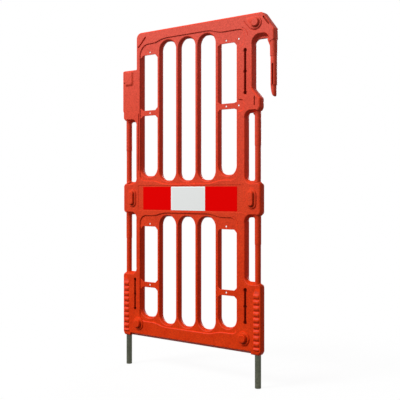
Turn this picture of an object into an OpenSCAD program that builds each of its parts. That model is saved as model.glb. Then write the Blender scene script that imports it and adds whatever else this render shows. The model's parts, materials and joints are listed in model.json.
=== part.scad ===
// Pedestrian barrier panel: a moulded plastic fence panel on two steel legs.
// The panel stands in the XZ plane with its front towards -Y. Heights count from the foot of the
// legs. Sideways positions count from the line midway between the two legs, and placed() then
// moves the whole panel so that the origin is at the bottom centre of its box.

/* [Overall] */
// Height of the panel's top edge above the foot of the legs
panel_top = 2000; // [1990:1:2010]
// Distance between the axes of the two legs
leg_span = 936; // [930:1:942]
// Thickness of the outer frame, front to back
frame_t = 48; // [46:1:52]
// Depth of the recessed fields below the front of the frame
field_sink = 6; // [4:0.5:8]
// Depth of the recessed fields below the back of the frame
back_sink = 3; // [2:0.5:6]

/* [Slots] */
// Distance between the middles of two neighbouring slots
slot_pitch = 142.2; // [141:0.1:143]
// Width of a slot
slot_w = 127.5; // [124:0.5:130]
// Radius of the rounded slot corners
slot_r = 56; // [50:1:60]
// Sideways position of the middle slot
slot_mid_x = -7; // [-9:1:-5]
// Bottom of the three middle slots of the upper field
upper_slot_z0 = 1114; // [1110:1:1120]
// Top of the slots of the upper field
upper_slot_z1 = 1937; // [1930:1:1944]
// Bottom of the three middle slots of the lower field
lower_slot_z0 = 270; // [264:1:274]
// Top of the slots of the lower field
lower_slot_z1 = 907; // [902:1:910]
// How much higher the two outer slots begin than the middle three, in the upper field
upper_outer_lift = 28; // [20:1:34]
// How much higher the two outer slots begin than the middle three, in the lower field
lower_outer_lift = 36; // [30:1:40]

/* [Tie plates] */
// Thickness of the tie webs and tie plates across the outer slots
tie_t = 5; // [4:0.5:6]
// Height of a tie web at its waist
web_h = 32; // [28:1:36]
// Middle height of the upper tie webs
upper_web_z = 1518; // [1500:1:1530]
// Middle height of the lower tie webs
lower_web_z = 496; // [480:1:510]
// Lower edge of the tie plates at the top of the upper field
upper_plate_z = 1867; // [1860:1:1875]
// Lower edge of the tie plates at the top of the lower field
lower_plate_z = 843; // [836:1:850]
// Radius of the eyelets
eyelet_r = 4.5; // [3:0.5:5]

/* [Columns and legs] */
// Outside diameter of a steel leg
leg_od = 33.7; // [33.7]
// Wall of a steel leg
leg_wall = 3.2; // [2.6:0.1:4]
// Height to which a leg reaches up inside its block
leg_top = 520; // [480:5:530]
// Radius of the upper half of a column
column_r = 17.5; // [17.5:0.1:18]
// Radius of the lower half of a column
column_low_r = 16; // [15:0.1:16.2]
// Number of grip grooves across each face of a leg block
grip_count = 9; // [5:1:9]
// Distance between two grip grooves
grip_pitch = 31.9; // [28:0.1:32]

/* [Hinge] */
// Sideways position of the hinge pin's axis
pin_x = 567; // [560:1:570]
// Radius of the hinge pin's free length
pin_r = 17.5; // [17:0.5:17.5]
// Height of the underside of the pin
pin_z0 = 1551; // [1545:1:1560]
// Radius of the bore that takes the neighbouring panel's pin
socket_r = 18.5; // [18.5:0.1:19]
// Depth of that bore
socket_depth = 240; // [200:5:250]

/* [Lugs and films] */
// Height of a lug's pad above the frame
pad_h = 6; // [4:0.5:8]
// Height of a lug's boss above its pad
boss_h = 10; // [6:0.5:12]
// Thickness of a reflective film
film_t = 0.6; // [0.4:0.1:1]
// Depth of the film's recess in the mid band
film_sink = 2; // [1:0.5:3]

/* [Hidden] */
$fn = 64;
PLASTIC = "#d9452c";
FILM_RED = "#db0000";
FILM_WHITE = "#dcdedd";
STEEL = "#5a5a4a";
eps = 0.01;

front_y = -frame_t / 2;
back_y = frame_t / 2;
field_y = front_y + field_sink;
far_y = back_y - back_sink;
lug_front_y = front_y - pad_h - boss_h;

// Sides of the frame
leg_x = leg_span / 2;
block_reach = 35;
left_x = -leg_x - block_reach;
right_x = leg_x + block_reach;
left_stile_x = -386;
right_stile_x = 395;
gate_x = 445;
neck_r = pin_r + 0.5;
arm_x = pin_x + neck_r;
slots_x0 = slot_mid_x - 2 * slot_pitch - slot_w / 2;
slots_x1 = slot_mid_x + 2 * slot_pitch + slot_w / 2;
bar_w = slot_pitch - slot_w;

// Levels at which the moulding is divided into its members
rail_z0 = 188;
low_z = lower_slot_z0 + lower_outer_lift + slot_r;
block_z1 = 552;
band_z0 = lower_plate_z;
band_z1 = upper_slot_z0 + upper_outer_lift + slot_r;
rail_z1 = upper_plate_z;

// Blocks on the column axes
collar_z = 177;
end_z0 = 921;
end_z1 = 1102;
socket_z0 = 1480;
socket_z1 = 1785;
socket_step_z = 1536;
knuckle_z0 = 1473;
knuckle_z1 = 1552;
gate_z = 1603;
arm_z0 = 1867;
arch_r = 50;
shoulder_z = 1850;
column_step_up = 1295;
column_step_low = 765;
edge_r = 18;
window_r = 30;
leg_step = 1;
leg_play = 0.2;

block_corner_r = 12;
end_corner_r = 17;

// Lower edge, upper edge and side step of the two recessed fields
upper_field_z = [1094, 1950, 20];
lower_field_z = [258, 927, 18];

// Places of the grooves, eyelets and lugs on the frame
tack_left_x = -398;
tack_right_x = 401;
upper_tack_z = [1584, 1812];
lower_tack_z = [347, 521];
plate_h = 40;
plate_eyelet_up = 16;
frame_eyelet_x = 355;
frame_eyelet_z = upper_plate_z + plate_eyelet_up;
top_lug_at = [467, 1946];
left_lug_at = [-372, 258];
right_lug_at = [390, 260];
mid_left_lug_at = [-421, 1012];
mid_right_lug_at = [442, 1012];
round_boss_d = 50;
oblong_boss = [36, 80];
oblong_pad = [62, 108];
top_pad_d = 76;
bottom_pad_d = 82;

// The reflective films' three parts, and the recess they lie in
film_x = [-334, -117, 129.5, 348];
film_z = [943, 1079];
recess_x0 = -374;
recess_z = [938, 1089];

// The panel's box, from which its origin is worked out
box_x = (left_x + arm_x) / 2;
box_y = (lug_front_y + back_y) / 2;

// Moves a piece from the legs' midline to the panel's own origin
module placed() {
    translate([-box_x, -box_y, 0]) children();
}

// Draws a flat shape upright, x sideways and y as height, and gives it depth from y0 back to y1
module upright(y0, y1) {
    translate([0, y1, 0]) rotate([90, 0, 0]) linear_extrude(y1 - y0) children();
}

// A rectangle between two corners, with all four corners rounded
module rounded(x0, z0, x1, z1, r) {
    translate([x0 + r, z0]) square([x1 - x0 - 2 * r, z1 - z0]);
    translate([x0, z0 + r]) square([x1 - x0, z1 - z0 - 2 * r]);
    for (x = [x0 + r, x1 - r], z = [z0 + r, z1 - r]) translate([x, z]) circle(r);
}

// A plain rectangle between two corners
module rect(x0, z0, x1, z1) {
    translate([x0, z0]) square([x1 - x0, z1 - z0]);
}

// An upright oblong with round ends, round a middle point
module oblong(at, size) {
    w = size[0] / 2;
    h = size[1] / 2;
    rounded(at[0] - w, at[1] - h, at[0] + w, at[1] + h, w - 1);
}

// The curved fill of an inner corner; sx and sz say on which side of the corner it lies.
// It runs a little way into the block above or below it.
module corner_fill(x, z, r, sx, sz) {
    lap = 1;
    difference() {
        translate([sx > 0 ? x : x - r, sz > 0 ? z - lap : z - r]) square([r, r + lap]);
        translate([x + sx * r, z + sz * r]) circle(r);
    }
}

// One slot, counted from -2 at the left to 2 at the right
module slot(i, z0, z1) {
    x = slot_mid_x + i * slot_pitch;
    rounded(x - slot_w / 2, z0, x + slot_w / 2, z1, slot_r);
}

// All five slots of a field; the outer two begin higher and end behind their tie plates
module slots(z0, z1, outer_lift, outer_top) {
    for (i = [-1:1]) slot(i, z0, z1);
    for (i = [-2, 2]) slot(i, z0 + outer_lift, outer_top);
}

module upper_slots() {
    slots(upper_slot_z0, upper_slot_z1, upper_outer_lift, upper_plate_z + plate_h);
}

module lower_slots() {
    slots(lower_slot_z0, lower_slot_z1, lower_outer_lift, lower_plate_z + plate_h);
}

// The recessed field round five slots: a wide part, and a taller one over the middle three
module field(levels) {
    wide_r = 40;
    tall_r = 60;
    z0 = levels[0];
    z1 = levels[1];
    step = levels[2];
    side = slot_pitch + slot_w / 2 + 32;
    rounded(slots_x0, z0 + step, slots_x1 + 5, z1 - step, wide_r);
    rounded(slot_mid_x - side, z0, slot_mid_x + side, z1, tall_r);
}

// The upper field also takes in the ground round the two eyelets of the frame
module upper_field() {
    round_r = 20;
    corner_r = 30;
    x1 = frame_eyelet_x + 17;
    z1 = upper_field_z[1] - upper_field_z[2];
    field(upper_field_z);
    translate([frame_eyelet_x, upper_web_z]) circle(round_r);
    rounded(x1 - 2.4 * corner_r, z1 - 100, x1, z1, corner_r);
}

module lower_field() { field(lower_field_z); }

// A stretch of the moulding: full depth outside the fields, recessed on both faces inside them,
// open at the slots
module member() {
    for (ys = [[front_y, field_y], [far_y, back_y]]) upright(ys[0], ys[1]) difference() {
        children();
        upper_field();
        lower_field();
    }
    upright(field_y, far_y) difference() {
        children();
        upper_slots();
        lower_slots();
    }
}

// A flat shape from a straight side at x_in to a side with rounded corners at x_out
module nose(x_in, x_out, v0, v1, r) {
    side = sign(x_out - x_in);
    x_mid = x_out - side * r;
    rect(min(x_in, x_mid), v0, max(x_in, x_mid), v1);
    rect(min(x_mid, x_out), v0 + r, max(x_mid, x_out), v1 - r);
    for (v = [v0 + r, v1 - r]) translate([x_mid, v]) circle(r);
}

// A block on a column axis, with its outer side rounded as seen from above
module block(x_in, x_out, z0, z1) {
    translate([0, 0, z0]) linear_extrude(z1 - z0) nose(x_in, x_out, front_y, back_y, edge_r);
}

// The same, with the corners of its outer side rounded as seen from the front too
module cornered_block(x_in, x_out, z0, z1, r) {
    intersection() {
        block(x_in, x_out, z0, z1);
        upright(front_y, back_y) nose(x_in, x_out, z0, z1, r);
    }
}

// A groove with a round dot at each end and one between, cut into the front
module tack_groove(x, ends) {
    groove_w = 9;
    dot_r = 8.5;
    depth = 4;
    upright(front_y - eps, front_y + depth) {
        rect(x - groove_w / 2, ends[0], x + groove_w / 2, ends[1]);
        for (z = [ends[0], (ends[0] + ends[1]) / 2, ends[1]]) translate([x, z]) circle(dot_r);
    }
}

// A socket in the back, into which a lug of the next panel drops when panels are stacked
module lug_socket() {
    upright(back_y - boss_h - pad_h, back_y + eps) children();
}

module round_socket(at) { translate(at) circle(d = round_boss_d + 2); }

module oblong_socket(at) {
    oblong(at, [oblong_boss[0] + 2, oblong_boss[1] + 2]);
}

// A round eyelet beside the right-hand slot. Behind it the moulding is cut away as far as the slot,
// so that a tie can be passed round the remaining plate.
module frame_eyelet(x, z) {
    bay_r = 3 * eyelet_r;
    upright(front_y - eps, back_y + eps) translate([x, z]) circle(eyelet_r);
    upright(field_y + tie_t, back_y + eps) {
        translate([x, z]) circle(bay_r);
        rect(slots_x1 - slot_r, z - bay_r, x, z + bay_r);
    }
}

module top_rail() {
    corner_r = 35;
    line_at = [-372, 1912];
    line_slant = 58;
    line_size = [92, 7];
    line_depth = 2.5;
    color(PLASTIC) difference() {
        member() {
            rect(left_stile_x + corner_r, rail_z1, gate_x, panel_top);
            rect(left_stile_x, rail_z1, gate_x, panel_top - corner_r);
            translate([left_stile_x + corner_r, panel_top - corner_r]) circle(corner_r);
        }
        frame_eyelet(frame_eyelet_x, frame_eyelet_z);
        lug_socket() round_socket(top_lug_at);
        // Slanting line that sets off the corner
        upright(front_y - eps, front_y + line_depth)
            translate(line_at) rotate(line_slant) square(line_size);
    }
}

module hinge_arm() {
    chamfer_x = 510;
    chamfer_z = 1904;
    pin_side_x = pin_x - neck_r;
    line_at = [511.8, 1972.5];
    line_slant = -52;
    line_size = [66, 6];
    line_depth = 3;
    color(PLASTIC) difference() {
        intersection() {
            union() {
                upright(front_y, back_y) polygon([[gate_x, arm_z0], [gate_x, panel_top],
                    [chamfer_x, panel_top], [arm_x, chamfer_z], [arm_x, shoulder_z],
                    [pin_side_x, shoulder_z], [pin_side_x, arm_z0]]);
                upright(front_y, back_y) corner_fill(gate_x, arm_z0, arch_r, 1, -1);
                upright(front_y, back_y)
                    corner_fill(pin_side_x, arm_z0, arm_z0 - shoulder_z, -1, -1);
            }
            block(gate_x, arm_x, arm_z0 - arch_r, panel_top);
        }
        lug_socket() round_socket(top_lug_at);
        // Thin groove beside the slanting edge
        upright(front_y - eps, front_y + line_depth)
            translate(line_at) rotate(line_slant) square(line_size);
    }
}

module hinge_pin() {
    tip_z = 1602;
    tip_r = pin_r - 1;
    taper_r = 80;
    groove = [8, 5, 115];
    groove_z = 1605;
    gusset_z = 1809;
    gusset_w = 14;
    root_x = pin_x - neck_r + 2;
    color(PLASTIC) {
        translate([pin_x, 0, gusset_z]) cylinder(r = neck_r, h = shoulder_z - gusset_z);
        difference() {
            translate([pin_x, 0, tip_z]) cylinder(r = pin_r, h = gusset_z - tip_z);
            // Groove down the front of the pin
            translate([pin_x - groove[0] / 2, -pin_r - 1, groove_z]) cube(groove);
        }
        // Tip, drawn in on one side so that it finds the socket
        intersection() {
            translate([pin_x, 0, pin_z0]) cylinder(r = tip_r, h = tip_z - pin_z0);
            translate([pin_x + taper_r - neck_r, back_y, tip_z]) rotate([90, 0, 0])
                cylinder(r = taper_r, h = frame_t, $fn = 128);
        }
        // Gusset between the pin and the underside of the arm
        upright(-gusset_w / 2, gusset_w / 2)
            polygon([[root_x - gusset_w - 2, shoulder_z], [root_x, shoulder_z], [root_x, gusset_z]]);
    }
}

module upper_left_stile() {
    color(PLASTIC) member() rect(left_stile_x, band_z1, slots_x0, rail_z1);
}

module upper_right_stile() {
    color(PLASTIC) difference() {
        member() {
            rect(slots_x1, band_z1, right_stile_x, rail_z1);
            rect(right_stile_x, gate_z, gate_x, rail_z1);
        }
        tack_groove(tack_right_x, upper_tack_z);
        frame_eyelet(frame_eyelet_x, upper_web_z);
    }
}

module hinge_socket() {
    collar_w = 56;
    collar_h = 86;
    collar_t = 3;
    step_w = 5;
    color(PLASTIC) difference() {
        union() {
            block(left_stile_x, left_x, socket_step_z, socket_z1);
            block(left_stile_x, left_x + step_w, socket_z0, socket_step_z);
            upright(front_y, back_y) corner_fill(left_stile_x, socket_z0, window_r, -1, -1);
            // Raised collar round the mouth
            upright(front_y - collar_t, front_y)
                rect(-leg_x - collar_w / 2, socket_z1 - collar_h, -leg_x + collar_w / 2, socket_z1);
        }
        translate([-leg_x, 0, socket_z1 - socket_depth]) cylinder(r = socket_r, h = socket_depth + eps);
    }
}

module right_knuckle() {
    line_x = 436;
    line_w = 6;
    line_depth = 3;
    color(PLASTIC) difference() {
        union() {
            intersection() {
                block(right_stile_x, right_x, knuckle_z0, gate_z);
                upright(front_y, back_y) polygon([[right_stile_x, knuckle_z0], [right_x, knuckle_z0],
                    [right_x, knuckle_z1], [gate_x, gate_z], [right_stile_x, gate_z]]);
            }
            upright(front_y, back_y) corner_fill(right_stile_x, knuckle_z0, window_r, 1, -1);
        }
        tack_groove(tack_right_x, upper_tack_z);
        // Thin upright groove
        upright(front_y - eps, front_y + line_depth)
            rect(line_x, knuckle_z0 + 21, line_x + line_w, knuckle_z1 - line_w);
    }
}

module mid_band() {
    color(PLASTIC) difference() {
        union() {
            member() rect(left_stile_x, band_z0, right_stile_x, band_z1);
            cornered_block(left_stile_x, left_x, end_z0, end_z1, end_corner_r);
            cornered_block(right_stile_x, right_x, end_z0, end_z1, end_corner_r);
            upright(front_y, back_y) {
                corner_fill(left_stile_x, end_z1, window_r, -1, 1);
                corner_fill(left_stile_x, end_z0, window_r, -1, -1);
                corner_fill(right_stile_x, end_z1, window_r, 1, 1);
                corner_fill(right_stile_x, end_z0, window_r, 1, -1);
            }
        }
        upright(front_y - eps, front_y + film_sink)
            rect(recess_x0, recess_z[0], right_stile_x, recess_z[1]);
        lug_socket() {
            oblong_socket(mid_left_lug_at);
            oblong_socket(mid_right_lug_at);
        }
    }
}

module lower_left_stile() {
    color(PLASTIC) member() rect(left_stile_x, block_z1, slots_x0, band_z0);
}

module lower_right_stile() {
    color(PLASTIC) member() rect(slots_x1, block_z1, right_stile_x, band_z0);
}

module bottom_rail() {
    color(PLASTIC) member() rect(slots_x0, rail_z0, slots_x1, low_z);
}

// The block that grips a leg; side is -1 at the left and 1 at the right
module leg_block(side) {
    x_in = side < 0 ? slots_x0 : slots_x1;
    x_stile = side < 0 ? left_stile_x : right_stile_x;
    grip_w = 36;
    grip_r = 9;
    grip_depth = 4;
    grip_z0 = 230;
    collar_r = [20, 37];
    collar_h = 20;
    color(PLASTIC) difference() {
        union() {
            cornered_block(x_in, side * (leg_x + block_reach), rail_z0, block_z1, block_corner_r);
            upright(front_y, back_y) corner_fill(x_stile, block_z1, window_r, side, 1);
            // Tapered collar where the leg comes out
            intersection() {
                translate([side * leg_x, 0, collar_z])
                    cylinder(r1 = collar_r[0], r2 = collar_r[1], h = collar_h);
                block(x_in, side * (leg_x + block_reach), collar_z, block_z1);
            }
        }
        translate([side * leg_x, 0, collar_z - eps])
            cylinder(d = leg_od - leg_step, h = leg_top - collar_z + eps);
        tack_groove(side < 0 ? tack_left_x : tack_right_x, lower_tack_z);
        lug_socket() round_socket(side < 0 ? left_lug_at : right_lug_at);
        // The recessed field runs a little way into the right-hand block
        if (side > 0) {
            upright(front_y - eps, field_y) lower_field();
            upright(far_y, back_y + eps) lower_field();
        }
        for (i = [0:grip_count - 1], y = [front_y, back_y])
            translate([side * leg_x - grip_w / 2, y + sign(y) * (grip_r - grip_depth),
                grip_z0 + i * grip_pitch]) rotate([0, 90, 0]) cylinder(r = grip_r, h = grip_w);
    }
}

// A bar between two slots, with its four long edges rounded
module bar(i, z0, z1) {
    r = 3;
    x = slot_mid_x + (i - 2.5) * slot_pitch;
    color(PLASTIC) translate([0, 0, z0]) linear_extrude(z1 - z0)
        rounded(x - bar_w / 2, field_y, x + bar_w / 2, far_y, r);
}

// A round column, a little slimmer in its lower half
module column(side, z0, z_step, z1) {
    color(PLASTIC) {
        translate([side * leg_x, 0, z_step]) cylinder(r = column_r, h = z1 - z_step);
        translate([side * leg_x, 0, z0]) cylinder(r = column_low_r, h = z_step - z0);
    }
}

// The eyelet of a tie plate, a little nearer the panel's middle than the slot is
module plate_eyelet(i, z) {
    inwards = 6;
    translate([slot_mid_x + i * slot_pitch - sign(i) * inwards, z]) circle(eyelet_r);
}

// A tie web across an outer slot, flared where it meets the slot's sides
module tie_web(i, z) {
    flare_x = 14;
    flare_z = 14;
    w = slot_w / 2;
    h = web_h / 2;
    color(PLASTIC) upright(field_y, field_y + tie_t) difference() {
        translate([slot_mid_x + i * slot_pitch, z]) polygon([[-w, -h - flare_z], [-w + flare_x, -h],
            [w - flare_x, -h], [w, -h - flare_z], [w, h + flare_z], [w - flare_x, h], [-w + flare_x, h],
            [-w, h + flare_z]]);
        plate_eyelet(i, z);
    }
}

// A tie plate that closes the top of an outer slot
module tie_plate(i, z) {
    flare_x = 14;
    flare_z = 20;
    w = slot_w / 2;
    color(PLASTIC) upright(field_y, field_y + tie_t) difference() {
        intersection() {
            slot(i, z - 3 * slot_r, z + plate_h);
            translate([slot_mid_x + i * slot_pitch, z]) polygon([[-w, -flare_z], [-w + flare_x, 0],
                [w - flare_x, 0], [w, -flare_z], [w, plate_h], [-w, plate_h]]);
        }
        plate_eyelet(i, z + plate_eyelet_up);
    }
}

// A round lug: a pad with a tapered boss on it
module round_lug(at, pad_d) {
    taper = 2;
    color(PLASTIC) translate([at[0], front_y, at[1]]) rotate([90, 0, 0]) {
        cylinder(r1 = pad_d / 2, r2 = pad_d / 2 - taper, h = pad_h);
        translate([0, 0, pad_h]) cylinder(d1 = round_boss_d, d2 = round_boss_d - 2 * taper, h = boss_h);
    }
}

// A round lug at a bottom corner, where its pad also reaches down into the recessed field
module bottom_lug(at) {
    union() {
        round_lug(at, bottom_pad_d);
        color(PLASTIC) upright(front_y, field_y) intersection() {
            translate(at) circle(d = bottom_pad_d);
            lower_field();
        }
    }
}

// An upright oblong lug in two steps
module oblong_lug(at) {
    color(PLASTIC) {
        upright(front_y - pad_h, front_y) oblong(at, oblong_pad);
        upright(lug_front_y, front_y - pad_h) oblong(at, oblong_boss);
    }
}

module top_lug() {
    x = top_lug_at[0];
    z = top_lug_at[1];
    round_lug(top_lug_at, top_pad_d);
    // Wedge that runs out of the pad towards the rail
    half = top_pad_d / 2 - 2;
    color(PLASTIC) upright(front_y - pad_h, front_y) polygon([[x - 92, z + half], [x, z + half],
        [x, z - half], [x - 30, z - half], [x - 62, z + 14]]);
}

module leg(side) {
    color(STEEL) translate([side * leg_x, 0, 0]) difference() {
        union() {
            cylinder(d = leg_od, h = collar_z);
            // The end inside the block is sized down a little, to be driven in
            translate([0, 0, collar_z])
                cylinder(d = leg_od - leg_step - leg_play, h = leg_top - collar_z);
        }
        translate([0, 0, -eps]) cylinder(d = leg_od - 2 * leg_wall, h = leg_top + 2 * eps);
    }
}

module film(x0, x1, tint) {
    color(tint) upright(front_y + film_sink - film_t, front_y + film_sink)
        rect(x0, film_z[0], x1, film_z[1]);
}

placed() top_rail();
placed() hinge_arm();
placed() hinge_pin();
placed() upper_left_stile();
placed() upper_right_stile();
placed() hinge_socket();
placed() right_knuckle();
placed() mid_band();
placed() lower_left_stile();
placed() lower_right_stile();
placed() bottom_rail();
placed() leg_block(-1);  // left_leg_block
placed() leg_block(1);  // right_leg_block
for (i = [1:4]) {
    placed() bar(i, band_z1, rail_z1);
    placed() bar(i, low_z, band_z0);
}
placed() column(-1, end_z1, column_step_up, socket_z0);  // upper_left_column
placed() column(1, end_z1, column_step_up, knuckle_z0);  // upper_right_column
placed() column(-1, block_z1, column_step_low, end_z0);  // lower_left_column
placed() column(1, block_z1, column_step_low, end_z0);  // lower_right_column
placed() tie_web(-2, upper_web_z);  // upper_left_web
placed() tie_web(2, upper_web_z);  // upper_right_web
placed() tie_web(-2, lower_web_z);  // lower_left_web
placed() tie_web(2, lower_web_z);  // lower_right_web
placed() tie_plate(-2, upper_plate_z);  // upper_left_tie_plate
placed() tie_plate(2, upper_plate_z);  // upper_right_tie_plate
placed() tie_plate(-2, lower_plate_z);  // lower_left_tie_plate
placed() tie_plate(2, lower_plate_z);  // lower_right_tie_plate
placed() top_lug();
placed() oblong_lug(mid_left_lug_at);  // mid_left_lug
placed() oblong_lug(mid_right_lug_at);  // mid_right_lug
placed() bottom_lug(left_lug_at);  // bottom_left_lug
placed() bottom_lug(right_lug_at);  // bottom_right_lug
placed() leg(-1);  // left_leg
placed() leg(1);  // right_leg
placed() film(film_x[0], film_x[1], FILM_RED);  // left_red_film
placed() film(film_x[1], film_x[2], FILM_WHITE);  // white_film
placed() film(film_x[2], film_x[3], FILM_RED);  // right_red_film
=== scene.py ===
"""Pedestrian barrier panel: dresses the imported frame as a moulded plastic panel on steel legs.

Lengths are in millimetres until a mesh is made. Sideways places count from the line midway between
the two legs, depths from the panel's mid-plane with the front negative, heights from the foot of
the legs.
"""

import json
import logging
import math
from dataclasses import dataclass, field
from enum import Enum
from typing import Any, Sequence

import bpy
import numpy as np
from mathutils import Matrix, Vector
from mathutils.geometry import delaunay_2d_cdt


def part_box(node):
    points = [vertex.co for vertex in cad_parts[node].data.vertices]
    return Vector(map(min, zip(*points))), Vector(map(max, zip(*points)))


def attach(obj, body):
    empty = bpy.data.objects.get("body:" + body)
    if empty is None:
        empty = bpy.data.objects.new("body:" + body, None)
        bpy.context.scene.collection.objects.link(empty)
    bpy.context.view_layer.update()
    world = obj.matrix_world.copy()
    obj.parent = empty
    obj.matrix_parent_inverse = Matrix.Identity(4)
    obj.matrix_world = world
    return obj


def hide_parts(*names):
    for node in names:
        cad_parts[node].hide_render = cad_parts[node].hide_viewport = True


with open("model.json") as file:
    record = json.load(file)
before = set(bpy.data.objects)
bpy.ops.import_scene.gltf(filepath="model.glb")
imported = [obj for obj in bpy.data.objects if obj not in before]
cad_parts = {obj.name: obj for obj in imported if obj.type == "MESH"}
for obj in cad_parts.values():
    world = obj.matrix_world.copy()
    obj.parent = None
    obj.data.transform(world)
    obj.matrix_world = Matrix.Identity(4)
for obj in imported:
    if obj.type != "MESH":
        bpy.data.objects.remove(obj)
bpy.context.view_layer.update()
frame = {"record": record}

LOG = logging.getLogger("barrier_panel")
BODY = "root"
METRE = 1000.0
FRONT = -1
BACK = 1


def leg_midpoint() -> tuple[float, float]:
    """Returns the row-frame x and y, in metres, of the line midway between the two legs."""
    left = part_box("left_leg")
    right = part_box("right_leg")
    return (left[0].x + right[1].x) / 2, (left[0].y + left[1].y) / 2


HOME_X, HOME_Y = leg_midpoint()


@dataclass(frozen=True)
class Box:
    """The box of a CAD node, in millimetres from the legs' midline."""

    x0: float
    x1: float
    y0: float
    y1: float
    z0: float
    z1: float

    @property
    def x(self) -> float:
        """Sideways middle of the box."""
        return (self.x0 + self.x1) / 2

    @property
    def z(self) -> float:
        """Middle height of the box."""
        return (self.z0 + self.z1) / 2


def cad(node: str) -> Box:
    """Measures a CAD node.

    Args:
        node: The node's name.

    Returns:
        Its box in millimetres.
    """
    low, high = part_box(node)
    return Box(
        (low.x - HOME_X) * METRE,
        (high.x - HOME_X) * METRE,
        (low.y - HOME_Y) * METRE,
        (high.y - HOME_Y) * METRE,
        low.z * METRE,
        high.z * METRE,
    )


def to_row(points: np.ndarray) -> np.ndarray:
    """Turns millimetre points from the legs' midline into row-frame metres.

    Args:
        points: An array of x, y, z rows in millimetres.

    Returns:
        The same points in metres, in the row frame.
    """
    return points / METRE + np.array([HOME_X, HOME_Y, 0.0])


def wire(tree: Any, kind: str, feeds: dict | None = None, **settings: Any) -> Any:
    """Adds a node to a tree, with its settings and links.

    Args:
        tree: A shader or geometry node tree.
        kind: The node's type name.
        feeds: Inputs by name or number, each a value or another node's output socket.
        **settings: Attributes of the node.

    Returns:
        The new node.
    """
    made = tree.nodes.new(kind)
    for name, value in settings.items():
        setattr(made, name, value)
    for key, value in (feeds or {}).items():
        if isinstance(value, bpy.types.NodeSocket):
            tree.links.new(value, made.inputs[key])
        else:
            made.inputs[key].default_value = value
    return made


def reckon(tree: Any, operation: str, *values: Any) -> Any:
    """Adds a sum on sockets and numbers to a tree, and returns its result's socket."""
    return wire(tree, "ShaderNodeMath", dict(enumerate(values)), operation=operation).outputs[0]


def blend(tree: Any, share: Any, first: Any, second: Any) -> Any:
    """Adds a mix of two colours to a tree, and returns its result's socket."""
    feeds = {0: share, 6: first, 7: second}
    return wire(tree, "ShaderNodeMix", feeds, data_type="RGBA").outputs[2]


def ramp(
    tree: Any,
    value: Any,
    low: Any = 0.0,
    high: Any = 1.0,
    to_low: Any = 0.0,
    to_high: Any = 1.0,
    **settings: Any,
) -> Any:
    """Adds a node to a tree that carries a value from one range over to another.

    Args:
        tree: A shader or geometry node tree.
        value: The value's socket.
        low: Where the first range starts.
        high: Where the first range ends.
        to_low: Where the second range starts.
        to_high: Where the second range ends.
        **settings: Attributes of the node.

    Returns:
        The result's socket.
    """
    feeds = {"Value": value, "From Min": low, "From Max": high, "To Min": to_low, "To Max": to_high}
    return wire(tree, "ShaderNodeMapRange", feeds, **settings).outputs[0]


def mount(name: str) -> tuple[float, dict]:
    """Looks up a mount in the record.

    Args:
        name: The mount's name.

    Returns:
        Its sideways place in millimetres and its sizes.
    """
    found = next(m for m in frame["record"]["mounts"] if m["name"] == name)
    return found["pos_m"][0] * METRE - HOME_X * METRE, found["dims"]


def linear(code: str) -> tuple[float, float, float, float]:
    """Turns an sRGB hex colour into linear values.

    Args:
        code: Six hex digits after a hash sign.

    Returns:
        Red, green, blue and an alpha of 1.
    """
    parts = [int(code[i : i + 2], 16) / 255 for i in (1, 3, 5)]
    red, green, blue = (
        v / 12.92 if v <= 0.04045 else ((v + 0.055) / 1.055) ** 2.4 for v in parts
    )
    return red, green, blue, 1.0


class Side(Enum):
    """Which side of a loop the plastic is on."""

    OUTLINE = 1
    OPENING = -1


@dataclass(frozen=True)
class Corner:
    """A corner of an outline.

    r rounds the corner itself. edge is the rounding of the long edge there and lean is how far the
    wall has leant back by the time that it meets the face; edge_after and lean_after are the same
    where the outline leaves the corner, if they differ.
    """

    x: float
    z: float
    r: float = 0.0
    edge: float = 5.0
    edge_after: float | None = None
    lean: float = 0.8
    lean_after: float | None = None


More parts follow.
